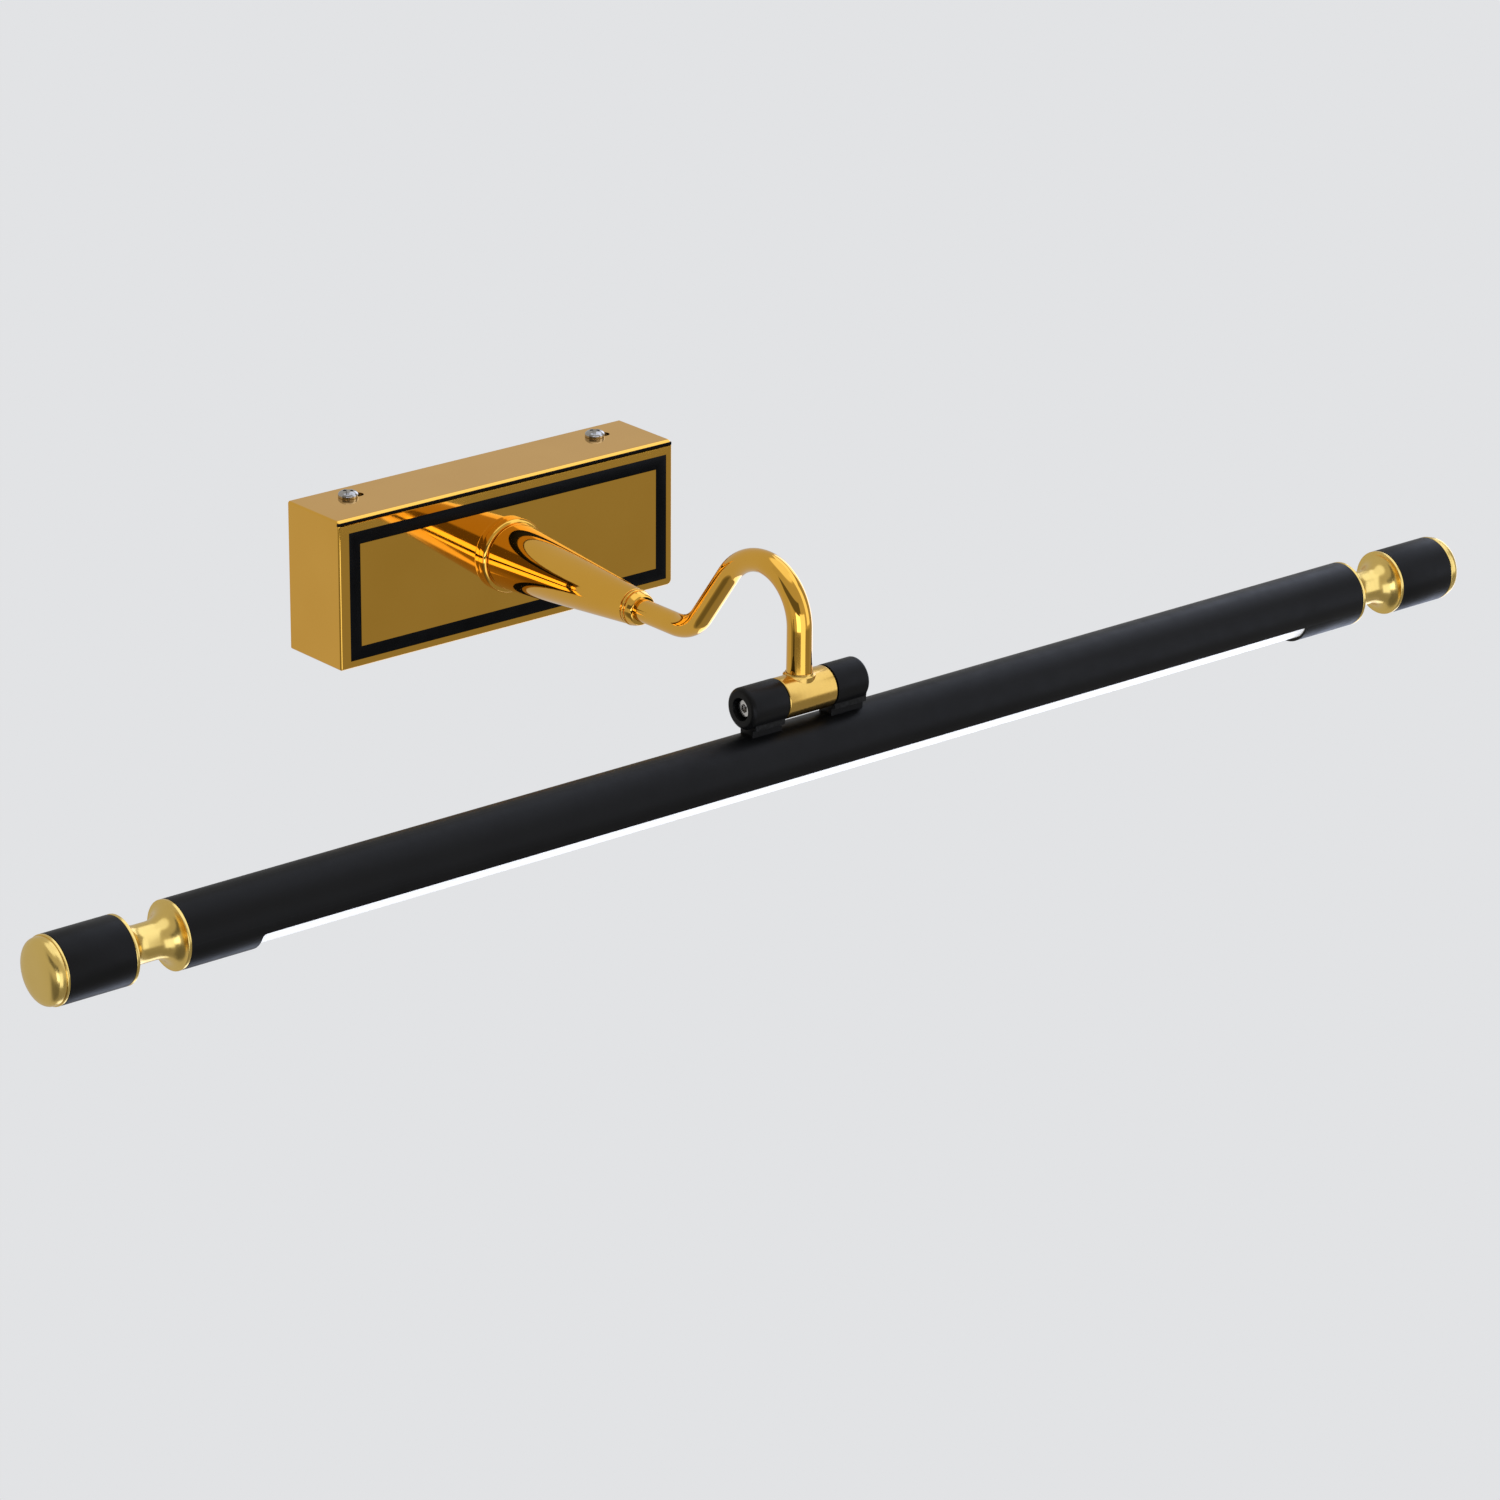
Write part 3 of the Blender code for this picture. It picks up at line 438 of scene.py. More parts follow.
COVER_WALL = 1.5 * MM
TOP_FOLD = 2.3 * MM           # radius of the fold along the top of the front
EDGE_ROUND = 0.9 * MM         # radius of the other outer edges
LOWER_ROUND = 2.2 * MM        # radius of the lower right corner, seen from the front
INNER_ROUND = 1.0 * MM        # radius of the hollow's corners
ROOT_BORE = 5.3 * MM          # radius of the nipple's way through cover, flange and cone
BACK_CUT = 10.0 * MM          # how far the hollow's cutter reaches past the open back
SEAM_DROP = 0.8 * MM          # the seam between the folded top and the front plate
SEAM_WIDTH = 1.2 * MM
SEAM_DEPTH = 1.2 * MM
# the black strip in the seam is painted shadow: a dark piece set into the shaded gap below the fold
SEAM_SHADE_STRIP_SET_BACK = 0.42 * MM
SEAM_SHADE_STRIP_EDGE = 0.16 * MM
GROOVE_WIDTH = 5.2 * MM       # the front line's groove
GROOVE_DEPTH = 0.6 * MM
GROOVE_CLEAR = 0.3 * MM       # how far the groove stands outside the line's plain solid
LINE_SET_BACK = 0.06 * MM
LINE_THICK = 0.5 * MM
LINE_EASE = 0.05 * MM
SLOT_LENGTH = 10.6 * MM
SLOT_WIDTH = 4.6 * MM
SLOT_SHIFT = 1.6 * MM
SLOT_CUT = 4.0 * MM           # how far a slot's cutter reaches above and below the top face
SCREW_SHANK_R = 1.7 * MM
SCREW_TIP = 0.8 * MM
CROSS_WIDTH = 1.5 * MM
CROSS_TURN = 50.0             # degrees by which the screws' crosses are turned


def line_groove(low_y, high_y, ease):
    """The rectangular band of the front line as a solid, ease smaller on every side."""
    low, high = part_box("black_line_inlay")
    grow = GROOVE_CLEAR - ease
    outer_x = (high[0] - low[0]) / 2 + grow
    outer_z = (high[2] - low[2]) / 2 + grow
    centre = ((low[0] + high[0]) / 2, low_y, (low[2] + high[2]) / 2)
    bm = bmesh.new()
    bmesh.ops.create_grid(bm, x_segments=1, y_segments=1, size=1.0)
    bmesh.ops.scale(bm, vec=(outer_x, outer_z, 1), verts=bm.verts)
    stand_up(bm)
    bmesh.ops.translate(bm, vec=centre, verts=bm.verts)
    middle = bm.faces[:]
    bmesh.ops.inset_region(bm, faces=middle, thickness=GROOVE_WIDTH - 2 * ease, depth=0,
                           use_even_offset=True, use_boundary=True)
    bmesh.ops.delete(bm, geom=middle, context="FACES")
    push(bm, bm.faces[:], (0, high_y - low_y, 0))
    bmesh.ops.recalc_face_normals(bm, faces=bm.faces)
    return bm


def slot_blank(centre, low_z, high_z):
    """A round-ended slot along X that goes through along Z."""
    r = SLOT_WIDTH / 2
    half = SLOT_LENGTH / 2
    bm = block((centre.x - half, centre.y - r, low_z), (centre.x + half, centre.y + r, high_z))
    bevel(bm, [e for e in bm.edges if runs_along(e, Z)], r * 0.999, 10)
    return bm


def cover_blank(low, high):
    """The cover's outer shape, still solid, with its edges rounded."""
    bm = block(low, high)
    fold = [e for e in bm.edges
            if runs_along(e, X) and edge_middle(e).y < low[1] + MM and edge_middle(e).z > 0]
    bevel(bm, fold, TOP_FOLD, 12)
    lower_right = [e for e in bm.edges if runs_along(e, Y) and edge_middle(e).z < 0 < edge_middle(e).x]
    bevel(bm, lower_right, LOWER_ROUND, 8)
    outer = [e for e in bm.edges
             if e.calc_face_angle(0) > 0.5 and min(v.co.y for v in e.verts) < high[1] - MM]
    bevel(bm, outer, EDGE_ROUND, 5)
    return bm


def cover_cutters(low, high):
    """The hollow, the seam, the groove of the front line, the screw slots and the nipple's way."""
    hollow = block(Vector(low) + Vector((COVER_WALL, COVER_WALL, COVER_WALL)),
                   Vector(high) - Vector((COVER_WALL, -BACK_CUT, COVER_WALL)))
    bevel(hollow, [e for e in hollow.edges if runs_along(e, Y)], INNER_ROUND, 4)
    seam_top = high[2] - SEAM_DROP
    seam = block((low[0] - MM, low[1] - MM, seam_top - SEAM_WIDTH),
                 (high[0] + MM, low[1] + SEAM_DEPTH, seam_top))
    cutters = [hollow, seam, line_groove(low[1] - 2 * MM, low[1] + GROOVE_DEPTH, 0.0)]
    for side in ("left", "right"):
        screw_low, screw_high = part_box(f"cover_screw_{side}")
        middle = (Vector(screw_low) + Vector(screw_high)) / 2 + X * SLOT_SHIFT
        cutters.append(slot_blank(middle, high[2] - SLOT_CUT, high[2] + SLOT_CUT))
    cutters.append(rod(Y, Vector((0, 0, 0)), -60 * MM, -20 * MM, ROOT_BORE, 48))
    return cutters


def make_cover():
    low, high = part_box("wall_cover")
    cover = combined(cover_blank(low, high), cover_cutters(low, high))
    obj = piece("canopy_cover", cover, ARM_BODY, GOLD, ("wall_cover",), 28)
    flat = obj.modifiers.new("flat_faces", "WEIGHTED_NORMAL")
    flat.keep_sharp = True
    flat.weight = 100


def make_front_line():
    front = span("wall_cover", 1)[0] + LINE_SET_BACK
    bm = line_groove(front, front + LINE_THICK, LINE_EASE)
    soften(bm, 60, 0.08 * MM)
    piece("front_line", bm, ARM_BODY, ENAMEL_AND_SEAM_SHADE, ("black_line_inlay",))


def make_seam_shade_strip():
    """A thin black strip in the seam below the fold: painted shadow that stands for the shade in the seam's
    gap.
    """
    low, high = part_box("wall_cover")
    top = high[2] - SEAM_DROP
    bm = block((low[0] + 0.06 * MM, low[1] + SEAM_SHADE_STRIP_SET_BACK, top - SEAM_WIDTH + 0.03 * MM),
               (high[0] - 0.06 * MM, low[1] + SEAM_DEPTH - 0.04 * MM, top - 0.03 * MM))
    front = [e for e in bm.edges if runs_along(e, X) and edge_middle(e).y < low[1] + 0.6 * MM]
    bevel(bm, front, SEAM_SHADE_STRIP_EDGE, 3)
    # the black finish on this strip is painted shadow of the seam
    piece("seam_shade_strip", bm, ARM_BODY, ENAMEL_AND_SEAM_SHADE, ("black_top_line",))


def screw_blank(axis, base, head_r, head_h, length):
    """A pan-head screw, head towards axis, with a rounded crown and a pointed tip."""
    shank_r = SCREW_SHANK_R
    crown = [(head_h * (0.35 + 0.65 * math.sin(a)), head_r * math.cos(a) ** 0.8)
             for a in [math.radians(d) for d in range(0, 90, 9)]]
    start = rounded([(-length, 0, 0), (-length, shank_r * 0.7, 0.15 * MM),
                     (-length + SCREW_TIP, shank_r, 0), (0, shank_r, 0), (0, head_r, 0.12 * MM),
                     crown[0] + (0,)])
    profile = [tuple(p) for p in start] + crown[1:] + [(head_h, 0)]
    return turned(profile, axis, base, 64)


def cross_blanks(axis, base, head_h, reach):
    """Two crossed blades with sloped ends: one runs out over the rim, one stays inside it."""
    aim = Z.rotation_difference(axis).to_matrix().to_4x4()
    half = CROSS_WIDTH / 2
    blades = []
    for turn, length in ((0, reach * 2), (90, reach)):
        bm = block((-length, -half, head_h * 0.2), (length, half, head_h * 1.4))
        foot = [v for v in bm.verts if v.co.z < head_h]
        bmesh.ops.scale(bm, vec=(0.55, 0.8, 1), verts=foot)
        swing = Matrix.Rotation(math.radians(turn + CROSS_TURN), 4, "Z")
        bmesh.ops.transform(bm, matrix=Matrix.Translation(base) @ aim @ swing, verts=bm.verts)
        blades.append(bm)
    return blades


def make_cover_screws():
    top = span("wall_cover", 2)[1] + 0.05 * MM
    for side in ("left", "right"):
        node = f"cover_screw_{side}"
        low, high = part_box(node)
        base = Vector(((low[0] + high[0]) / 2, (low[1] + high[1]) / 2, top))
        head_r, head_h = (high[0] - low[0]) / 2, high[2] - top
        bm = screw_blank(Z, base, head_r, head_h, top - low[2])
        bm = combined(bm, cross_blanks(Z, base, head_h, head_r * 0.6))
        piece(f"canopy_screw_{side}", bm, ARM_BODY, SCREW_STEEL, (node,), 40)


# ---- arm ----------------------------------------------------------------------------------

NECK_SLOPE = math.radians(53.0)
LOW_BEND, RISE_BEND, DROP_BEND = 20.0 * MM, 26.0 * MM, 20.3 * MM
NECK_WALL = 1.0 * MM
NECK_SEAT = 5.0 * MM          # height of the tube's lower end above the hinge axis
DROP_STEPS = 6
DROP_SWELL = 0.08             # how much thicker the tube is at the end of its last bend
FOOT_SWELL = 0.04             # and how much more at its foot
INNER_SHIFT = 0.3 * MM        # the thickening lies more on the inner side
CONE_TIP_R = 7.0 * MM
CONE_SEAT_R = 4.7 * MM        # the tube's seat inside the cone's tip
CONE_SEAT = 12.0 * MM
CONE_WALL = 2.2 * MM
CONE_PLUG = 9.0 * MM          # thickness of the cone's solid base round the nipple
FERRULE_BORE = 4.48 * MM
FERRULE_TONGUE = 0.25 * MM    # the step that centres the ferrule on the cone's tip


def make_flange():
    low = span("cone_ring", 1)[0]
    back = span("wall_cover", 1)[0] - 0.02 * MM
    r = size("cone_ring", 0) / 2
    profile = rounded([(back, ROOT_BORE, 0), (back, r, 0.1 * MM), (low, r, 1.2 * MM),
                       (low, ROOT_BORE, 0.1 * MM)], 6)
    piece("cone_flange", turned(profile, Y, closed=True), ARM_BODY, GOLD,
          ("cone_ring",))


def make_cone():
    tip, base = span("arm_cone", 1)
    base_r = size("arm_cone", 0) / 2
    profile = rounded([(base, ROOT_BORE, 0), (base, base_r, 0.35 * MM), (tip, CONE_TIP_R, 0.25 * MM),
                       (tip, CONE_SEAT_R, 0), (tip + CONE_SEAT, CONE_SEAT_R, 0),
                       (tip + CONE_SEAT + 2 * MM, 6.0 * MM, 0),
                       (base - CONE_PLUG, base_r - CONE_WALL, 0), (base - CONE_PLUG, ROOT_BORE, 0)], 6)
    piece("cone_shell", turned(profile, Y, steps=128, closed=True), ARM_BODY, GOLD,
          ("arm_cone",))


def make_ferrule():
    """The small turned nose between cone and tube: a bead, a groove and a rounded lip."""
    tip, base = span("cone_collar", 1)
    r = size("cone_collar", 0) / 2
    bore, tongue = FERRULE_BORE, FERRULE_TONGUE
    profile = rounded([(base + tongue, bore, 0), (base + tongue, r - 0.5 * MM, 0.05 * MM),
                       (base - tongue, r - 0.5 * MM, 0.05 * MM), (base - tongue, r, 0.3 * MM),
                       (base - 1.5 * MM, r, 0.4 * MM), (base - 1.5 * MM, r - 0.7 * MM, 0.1 * MM),
                       (base - 2.1 * MM, r - 0.7 * MM, 0.1 * MM), (base - 2.1 * MM, r - 0.15 * MM, 0.3 * MM),
                       (tip, r - 1.2 * MM, 1.1 * MM), (tip, bore, 0.15 * MM)], 6)
    piece("cone_ferrule", turned(profile, Y, closed=True), ARM_BODY, GOLD,
          ("cone_collar",))


def bend(bm, ring, centre, angle, steps):
    """Spin an open ring of edges about an X axis through centre; returns the new end ring."""
    geom = ring + list(dict.fromkeys(v for e in ring for v in e.verts))
    made = bmesh.ops.spin(bm, geom=geom, cent=centre, axis=X, angle=angle, steps=steps,
                          use_duplicate=False)["geom_last"]
    return [e for e in made if isinstance(e, bmesh.types.BMEdge)]


def straight(bm, ring, step):
    """Extrude an open ring of edges along step; returns the new end ring."""
    made = bmesh.ops.extrude_edge_only(bm, edges=ring)["geom"]
    fresh = new_verts(made)
    bmesh.ops.translate(bm, vec=step, verts=fresh)
    fresh = set(fresh)
    return [e for e in made if isinstance(e, bmesh.types.BMEdge) and set(e.verts) <= fresh]


def swell_drop(bm, centre, drop):
    """Thicken the tube little by little from the crest down to its foot in the barrel."""
    for vert in bm.verts:
        if vert.co.y > centre.y:
            continue
        if vert.co.z > centre.z:
            out = Vector((0, vert.co.y - centre.y, vert.co.z - centre.z)).normalized()
            core = centre + out * DROP_BEND
            share = math.sqrt(math.acos(min(1.0, out.z)) / (math.pi / 2))
            grow, inward = DROP_SWELL * share, out * (-INNER_SHIFT * share)
        else:
            core = Vector((0, HINGE.y, vert.co.z))
            grow = DROP_SWELL + FOOT_SWELL * ((vert.co.z - centre.z) / drop) ** 3
            inward = Y * INNER_SHIFT
        vert.co = core + (vert.co - core) * (1 + grow) + inward


def make_swan_neck():
    low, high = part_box("swan_neck_tube")
    r = (high[0] - low[0]) / 2
    crest = high[2] - r
    entry = high[1]
    bm = bmesh.new()
    bmesh.ops.create_circle(bm, cap_ends=False, segments=48, radius=r)
    stand_up(bm)
    bmesh.ops.translate(bm, vec=(0, entry, 0), verts=bm.verts)
    ring = bm.edges[:]
    rise_centre = Vector((0, HINGE.y + DROP_BEND, crest - RISE_BEND))
    slope_way = Vector((0, -math.cos(NECK_SLOPE), math.sin(NECK_SLOPE)))
    rise_start = rise_centre + RISE_BEND * Vector((0, math.sin(NECK_SLOPE), math.cos(NECK_SLOPE)))
    slope_foot_z = LOW_BEND * (1 - math.cos(NECK_SLOPE))
    slope_length = (rise_start.z - slope_foot_z) / slope_way.z
    slope_foot = rise_start - slope_way * slope_length
    low_start = slope_foot.y + LOW_BEND * math.sin(NECK_SLOPE)
    ring = straight(bm, ring, (0, low_start - entry, 0))
    ring = bend(bm, ring, Vector((0, low_start, LOW_BEND)), -NECK_SLOPE, 18)
    ring = straight(bm, ring, slope_way * slope_length)
    ring = bend(bm, ring, rise_centre, NECK_SLOPE, 20)
    drop_centre = Vector((0, HINGE.y + DROP_BEND, crest - DROP_BEND))
    ring = bend(bm, ring, drop_centre, math.radians(90), 28)
    drop = HINGE.z + NECK_SEAT - drop_centre.z
    for _ in range(DROP_STEPS):
        ring = straight(bm, ring, (0, 0, drop / DROP_STEPS))
    bmesh.ops.remove_doubles(bm, verts=bm.verts, dist=SPIN_MERGE)
    swell_drop(bm, drop_centre, drop)
    bmesh.ops.recalc_face_normals(bm, faces=bm.faces)
    bmesh.ops.solidify(bm, geom=bm.faces[:], thickness=NECK_WALL)
    bmesh.ops.recalc_face_normals(bm, faces=bm.faces)
    piece("swan_neck", bm, ARM_BODY, GOLD, ("swan_neck_tube",), 40)


# ---- hinge --------------------------------------------------------------------------------

BARREL_BORE = 3.4 * MM
BARREL_EDGE = 0.45 * MM
SOCKET_TOP = 12.0 * MM        # how far the cutter for the tube's socket reaches
SOCKET_CLEAR = 0.03 * MM
LEAD_WAY_R = 2.7 * MM         # the lead's way from the tube down into the barrel
EAR_GAP = 0.5 * MM            # between an ear and the barrel
EAR_ROUND = 1.8 * MM          # radius of an ear's outer edge
EAR_EDGE = 0.15 * MM          # radius of its edge at the barrel
FOOT_SET_IN = 3.0 * MM        # the left foot stands this far in from the ear's outer end
FOOT_TRIM = 0.05 * MM
FOOT_LEVELS = ((-3.0, 6.0), (-5.8, 5.6), (-7.8, 5.6), (-8.0, 5.4), (-8.0, 3.9), (-8.4, 3.6),
               (-13.5, 3.6))  # height and half width of an ear's foot, in mm from the hinge axis
COUNTERBORE_R = 4.4 * MM
BOLT_SEAT = 3.3 * MM          # depth of the bolt's seat behind the front of its head
BOLT_HEAD = 3.0 * MM
BOLT_R = 2.0 * MM
BOLT_WAY_R = 2.3 * MM
HEX_R = 1.8 * MM
HEX_DEPTH = 4.5 * MM
PIVOT_WAY_R = 3.4 * MM        # the hollow pivot's bore in the right ear
PIVOT_WAY_END = 25.0 * MM


def at_hinge(profile, steps=FINE, closed=False):
    return turned(profile, X, HINGE, steps, closed)


def neck_fillet(barrel_r, neck_r, base):
    """The fillet where the tube stands on the barrel."""
    curve = [(barrel_r + 0.5 * MM - 1.1 * MM * t, neck_r + 0.25 * MM + 0.9 * MM * t ** 2)
             for t in (0.0, 0.25, 0.5, 0.75, 1.0)]
    profile = [(NECK_SEAT, 0), (NECK_SEAT, curve[-1][1])] + curve[::-1] + [(curve[0][0], 0)]
    return turned(profile, Z, base, 72)


def make_barrel():
    low, high = span("hinge_barrel", 0)
    r = size("hinge_barrel", 1) / 2
    body = at_hinge(rounded([(low, BARREL_BORE, 0), (low, r, BARREL_EDGE), (high, r, BARREL_EDGE),
                             (high, BARREL_BORE, 0)], 5), closed=True)
    base = Vector((0, HINGE.y + INNER_SHIFT, HINGE.z))
    neck_r = size("swan_neck_tube", 0) / 2 * (1 + DROP_SWELL + FOOT_SWELL)
    body = combined(body, [neck_fillet(r, neck_r, base)], "UNION")
    socket = rod(Z, base, NECK_SEAT - 0.2 * MM, SOCKET_TOP, neck_r + SOCKET_CLEAR, 50)
    lead_way = rod(Z, base, 0.0, NECK_SEAT, LEAD_WAY_R, 34)
    body = combined(body, [socket, lead_way])
    piece("tee_barrel", body, ARM_BODY, BARREL_GOLD, ("hinge_barrel",), 35)


def ear_foot(x_low, x_high):
    """The foot under an ear: a pad below the drum on a narrower block that stands on the tube."""
    near = [Vector((x_low, HINGE.y - w * MM, HINGE.z + z * MM)) for z, w in FOOT_LEVELS]
    far = [Vector((x_low, HINGE.y + w * MM, HINGE.z + z * MM)) for z, w in reversed(FOOT_LEVELS)]
    bm = bmesh.new()
    outline = [bm.verts.new(p) for p in near + far]
    side = bmesh.ops.contextual_create(bm, geom=outline)["faces"]
    push(bm, side, (x_high - x_low, 0, 0))
    bmesh.ops.recalc_face_normals(bm, faces=bm.faces)
    soften(bm, 50, 0.3 * MM, 3)
    return bm


def ear_drum(side, start, end, start_round, end_round):
    r = size(f"hinge_ear_{side}", 1) / 2
    return at_hinge(rounded([(start, 0, 0), (start, r, start_round), (end, r, end_round), (end, 0, 0)], 8))


def bolt_way(outer, end):
    """Counterbore, seat and way of the pivot bolt through the left ear."""
    seat = span("pivot_screw", 0)[0] + BOLT_SEAT
    start, end = outer - 10 * MM, end + 5 * MM
    return at_hinge(rounded([(start, 0, 0), (start, COUNTERBORE_R, 0), (seat, COUNTERBORE_R, 0),
                             (seat, BOLT_WAY_R, 0), (end, BOLT_WAY_R, 0), (end, 0, 0)]), 64)


def finish_ear(side, drum, foot, way):
    """Join drum and foot, then cut the lamp tube's saddle and the pivot's way."""
    body = combined(drum, [foot], "UNION")
    saddle = rod(X, LAMP_CENTRE, -60 * MM, 60 * MM, LAMP_R + 0.02 * MM, 160)
    body = combined(body, [saddle, way])
    piece(f"clevis_ear_{side}", body, HEAD_BODY, BLACK, (f"hinge_ear_{side}",), 32)


def make_left_ear():
    start, end = span("hinge_ear_left", 0)[0], span("hinge_barrel", 0)[0] - EAR_GAP
    drum = ear_drum("left", start, end, EAR_ROUND, EAR_EDGE)
    foot = ear_foot(start + FOOT_SET_IN, end - FOOT_TRIM)
    finish_ear("left", drum, foot, bolt_way(start, end))


def make_right_ear():
    start, end = span("hinge_barrel", 0)[1] + EAR_GAP, span("hinge_ear_right", 0)[1]
    drum = ear_drum("right", start, end, EAR_EDGE, EAR_ROUND)
    foot = ear_foot(start + FOOT_TRIM, end - FOOT_TRIM)
    way = rod(X, HINGE, start - 5 * MM, PIVOT_WAY_END, PIVOT_WAY_R, 64)
    finish_ear("right", drum, foot, way)


def make_ear_bolt():
    """Socket-head pivot bolt with a hexagon recess, deep in the left ear."""
    low, high = span("pivot_screw", 0)
    head_r = size("pivot_screw", 1) / 2
    profile = rounded([(low, 0, 0), (low, head_r, 0.4 * MM), (low + BOLT_HEAD, head_r, 0.1 * MM),
                       (low + BOLT_HEAD, BOLT_R, 0), (high - 0.5 * MM, BOLT_R, 0),
                       (high, BOLT_R - 0.5 * MM, 0), (high, 0, 0)])
    recess = at_hinge([(low - MM, 0), (low - MM, HEX_R), (low + HEX_DEPTH, HEX_R),
                       (low + HEX_DEPTH + 0.4 * MM, 0)], 6)
    bolt = combined(at_hinge(profile, 64), [recess])
    piece("pivot_bolt", bolt, ARM_BODY, NICKEL, ("pivot_screw",), 30)


# ---- lamp head ----------------------------------------------------------------------------

LIGHT_HALF = 250.0 * MM       # half the length of the light opening
SLOT_DROP = 4.0 * MM          # its edge lies this far below the lamp tube's middle
HOUSING_WALL = 1.0 * MM
LIGHT_CUT_SIDE, LIGHT_CUT_DOWN = 20.0 * MM, 30.0 * MM    # how far the opening's cutter reaches
TOP_HOLES = ((-18.0, 1.8), (17.5, 1.8), (23.3, 2.0))     # in mm: two for ear screws, one for the lead
DIFFUSER_WALL = 1.2 * MM
STUD_BORE = 3.3 * MM          # radius of the bores round the finial studs
SPOOL_RIM = 1.3 * MM
SPOOL_STEP = 0.25 * MM
SPOOL_NECK_R = 6.9 * MM
SPOOL_STRAIGHT = 2.2 * MM     # half the straight part of the spool's neck
SLEEVE_WEB = 2.0 * MM         # thickness of the sleeve's end walls
SLEEVE_INNER_R = 10.9 * MM
CAP_LIP = 1.1 * MM
CAP_STEP = 0.45 * MM          # the dome is set in from the lip by this much
CAP_SEAT = 3.2 * MM           # depth of the stud's seat in the cap


def at_lamp(profile, steps=FINE, closed=False):
    return turned(profile, X, LAMP_CENTRE, steps, closed)


def make_housing():
    half = (LAMP_HIGH[0] - LAMP_LOW[0]) / 2
    bore = LAMP_R - HOUSING_WALL
    body = at_lamp(rounded([(-half, bore, 0), (-half, LAMP_R, 0.15 * MM), (half, LAMP_R, 0.15 * MM),
                            (half, bore, 0)], 3), 160, True)
    slot = block(LAMP_CENTRE + Vector((-LIGHT_HALF, -LIGHT_CUT_SIDE, -LIGHT_CUT_DOWN)),
                 LAMP_CENTRE + Vector((LIGHT_HALF, LIGHT_CUT_SIDE, -SLOT_DROP)))
    bevel(slot, [e for e in slot.edges if runs_along(e, Y)], 1.5 * MM, 5)
    cutters = [slot]
    for x, r in TOP_HOLES:
        top = LAMP_CENTRE + Vector((x * MM, 0, 5 * MM))
        cutters.append(rod(Z, top, 0, 15 * MM, r * MM, 32))
    body = combined(body, cutters)
    piece("lamp_housing", body, HEAD_BODY, BLACK, ("lamp_tube",), 32)


def make_diffuser():
    """The opal channel: a bent strip with smooth lips."""
    low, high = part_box("diffuser")
    r = (high[1] - low[1]) / 2
    lip = high[2] - LAMP_CENTRE.z
    start = math.degrees(math.asin(lip / r))
    bm = bmesh.new()
    ring = [LAMP_CENTRE + Vector((low[0], a, b)) for a, b in arc_points(r, start, -180 - start, 72)]
    verts = [bm.verts.new(p) for p in ring]
    edges = [bm.edges.new(pair) for pair in zip(verts, verts[1:])]
    made = bmesh.ops.extrude_edge_only(bm, edges=edges)["geom"]
    bmesh.ops.translate(bm, vec=(high[0] - low[0], 0, 0), verts=new_verts(made))
    bmesh.ops.recalc_face_normals(bm, faces=bm.faces)
    if bm.faces[0].normal.dot(bm.faces[0].calc_center_median() - LAMP_CENTRE) < 0:
        bmesh.ops.reverse_faces(bm, faces=bm.faces)
    bmesh.ops.solidify(bm, geom=bm.faces[:], thickness=DIFFUSER_WALL)
    bmesh.ops.recalc_face_normals(bm, faces=bm.faces)
    soften(bm, 60, 0.2 * MM)
    piece("light_diffuser", bm, HEAD_BODY, OPAL, ("diffuser",))


def end_profile(points, side):
    """Points measured outwards from the lamp's middle, turned to the given end."""
    return [(side * p[0], p[1]) for p in points]


def finial_span(node):
    """Where a finial piece starts and ends, measured outwards from the lamp's middle."""
    low, high = span(node, 0)
    return min(abs(low), abs(high)), max(abs(low), abs(high))


def finial(name, profile, side, finish, node, closed=True):
    bm = at_lamp(end_profile(profile, side), 112, closed)
    piece(name, bm, HEAD_BODY, finish, (node,), 34)


def make_spool(label, side):
    """The turned spool: a thin rim at each end and two coves running into a short straight neck."""
    node = f"finial_spool_{label}"
    start, end = finial_span(node)
    start -= 0.25 * MM
    end += 0.1 * MM
    middle = (start + end) / 2
    reach = (end - start) / 2 - SPOOL_RIM - SPOOL_STRAIGHT
    depth = LAMP_R - SPOOL_STEP - SPOOL_NECK_R
    inner = [(middle - SPOOL_STRAIGHT - reach * math.cos(a), SPOOL_NECK_R + depth * (1 - math.sin(a)))
             for a in [math.radians(d) for d in range(0, 91, 5)]]
    outer = [(2 * middle - x, r) for x, r in reversed(inner)]
    head = rounded([(start, STUD_BORE, 0), (start, LAMP_R, 0.2 * MM),
                    (start + SPOOL_RIM, LAMP_R, 0.25 * MM), inner[0] + (0,)], 4)
    tail = rounded([outer[-1] + (0,), (end - SPOOL_RIM, LAMP_R, 0.25 * MM),
                    (end, LAMP_R, 0.2 * MM), (end, STUD_BORE, 0)], 4)
    profile = [tuple(p) for p in head[:-1]] + inner + outer + [tuple(p) for p in tail[1:]]
    finial(f"end_spool_{label}", profile, side, SATIN, node)


def make_sleeve(label, side):
    """The black sleeve: a tube with an end wall at each side."""
    node = f"finial_sleeve_{label}"
    start, end = finial_span(node)
    start -= 0.15 * MM
    end += 0.1 * MM
    profile = rounded([(start, STUD_BORE, 0), (start, LAMP_R, 0.3 * MM), (end, LAMP_R, 0.3 * MM),
                       (end, STUD_BORE, 0), (end - SLEEVE_WEB, STUD_BORE, 0),
                       (end - SLEEVE_WEB, SLEEVE_INNER_R, 0), (start + SLEEVE_WEB, SLEEVE_INNER_R, 0),
                       (start + SLEEVE_WEB, STUD_BORE, 0)], 4)
    finial(f"end_sleeve_{label}", profile, side, BLACK, node)


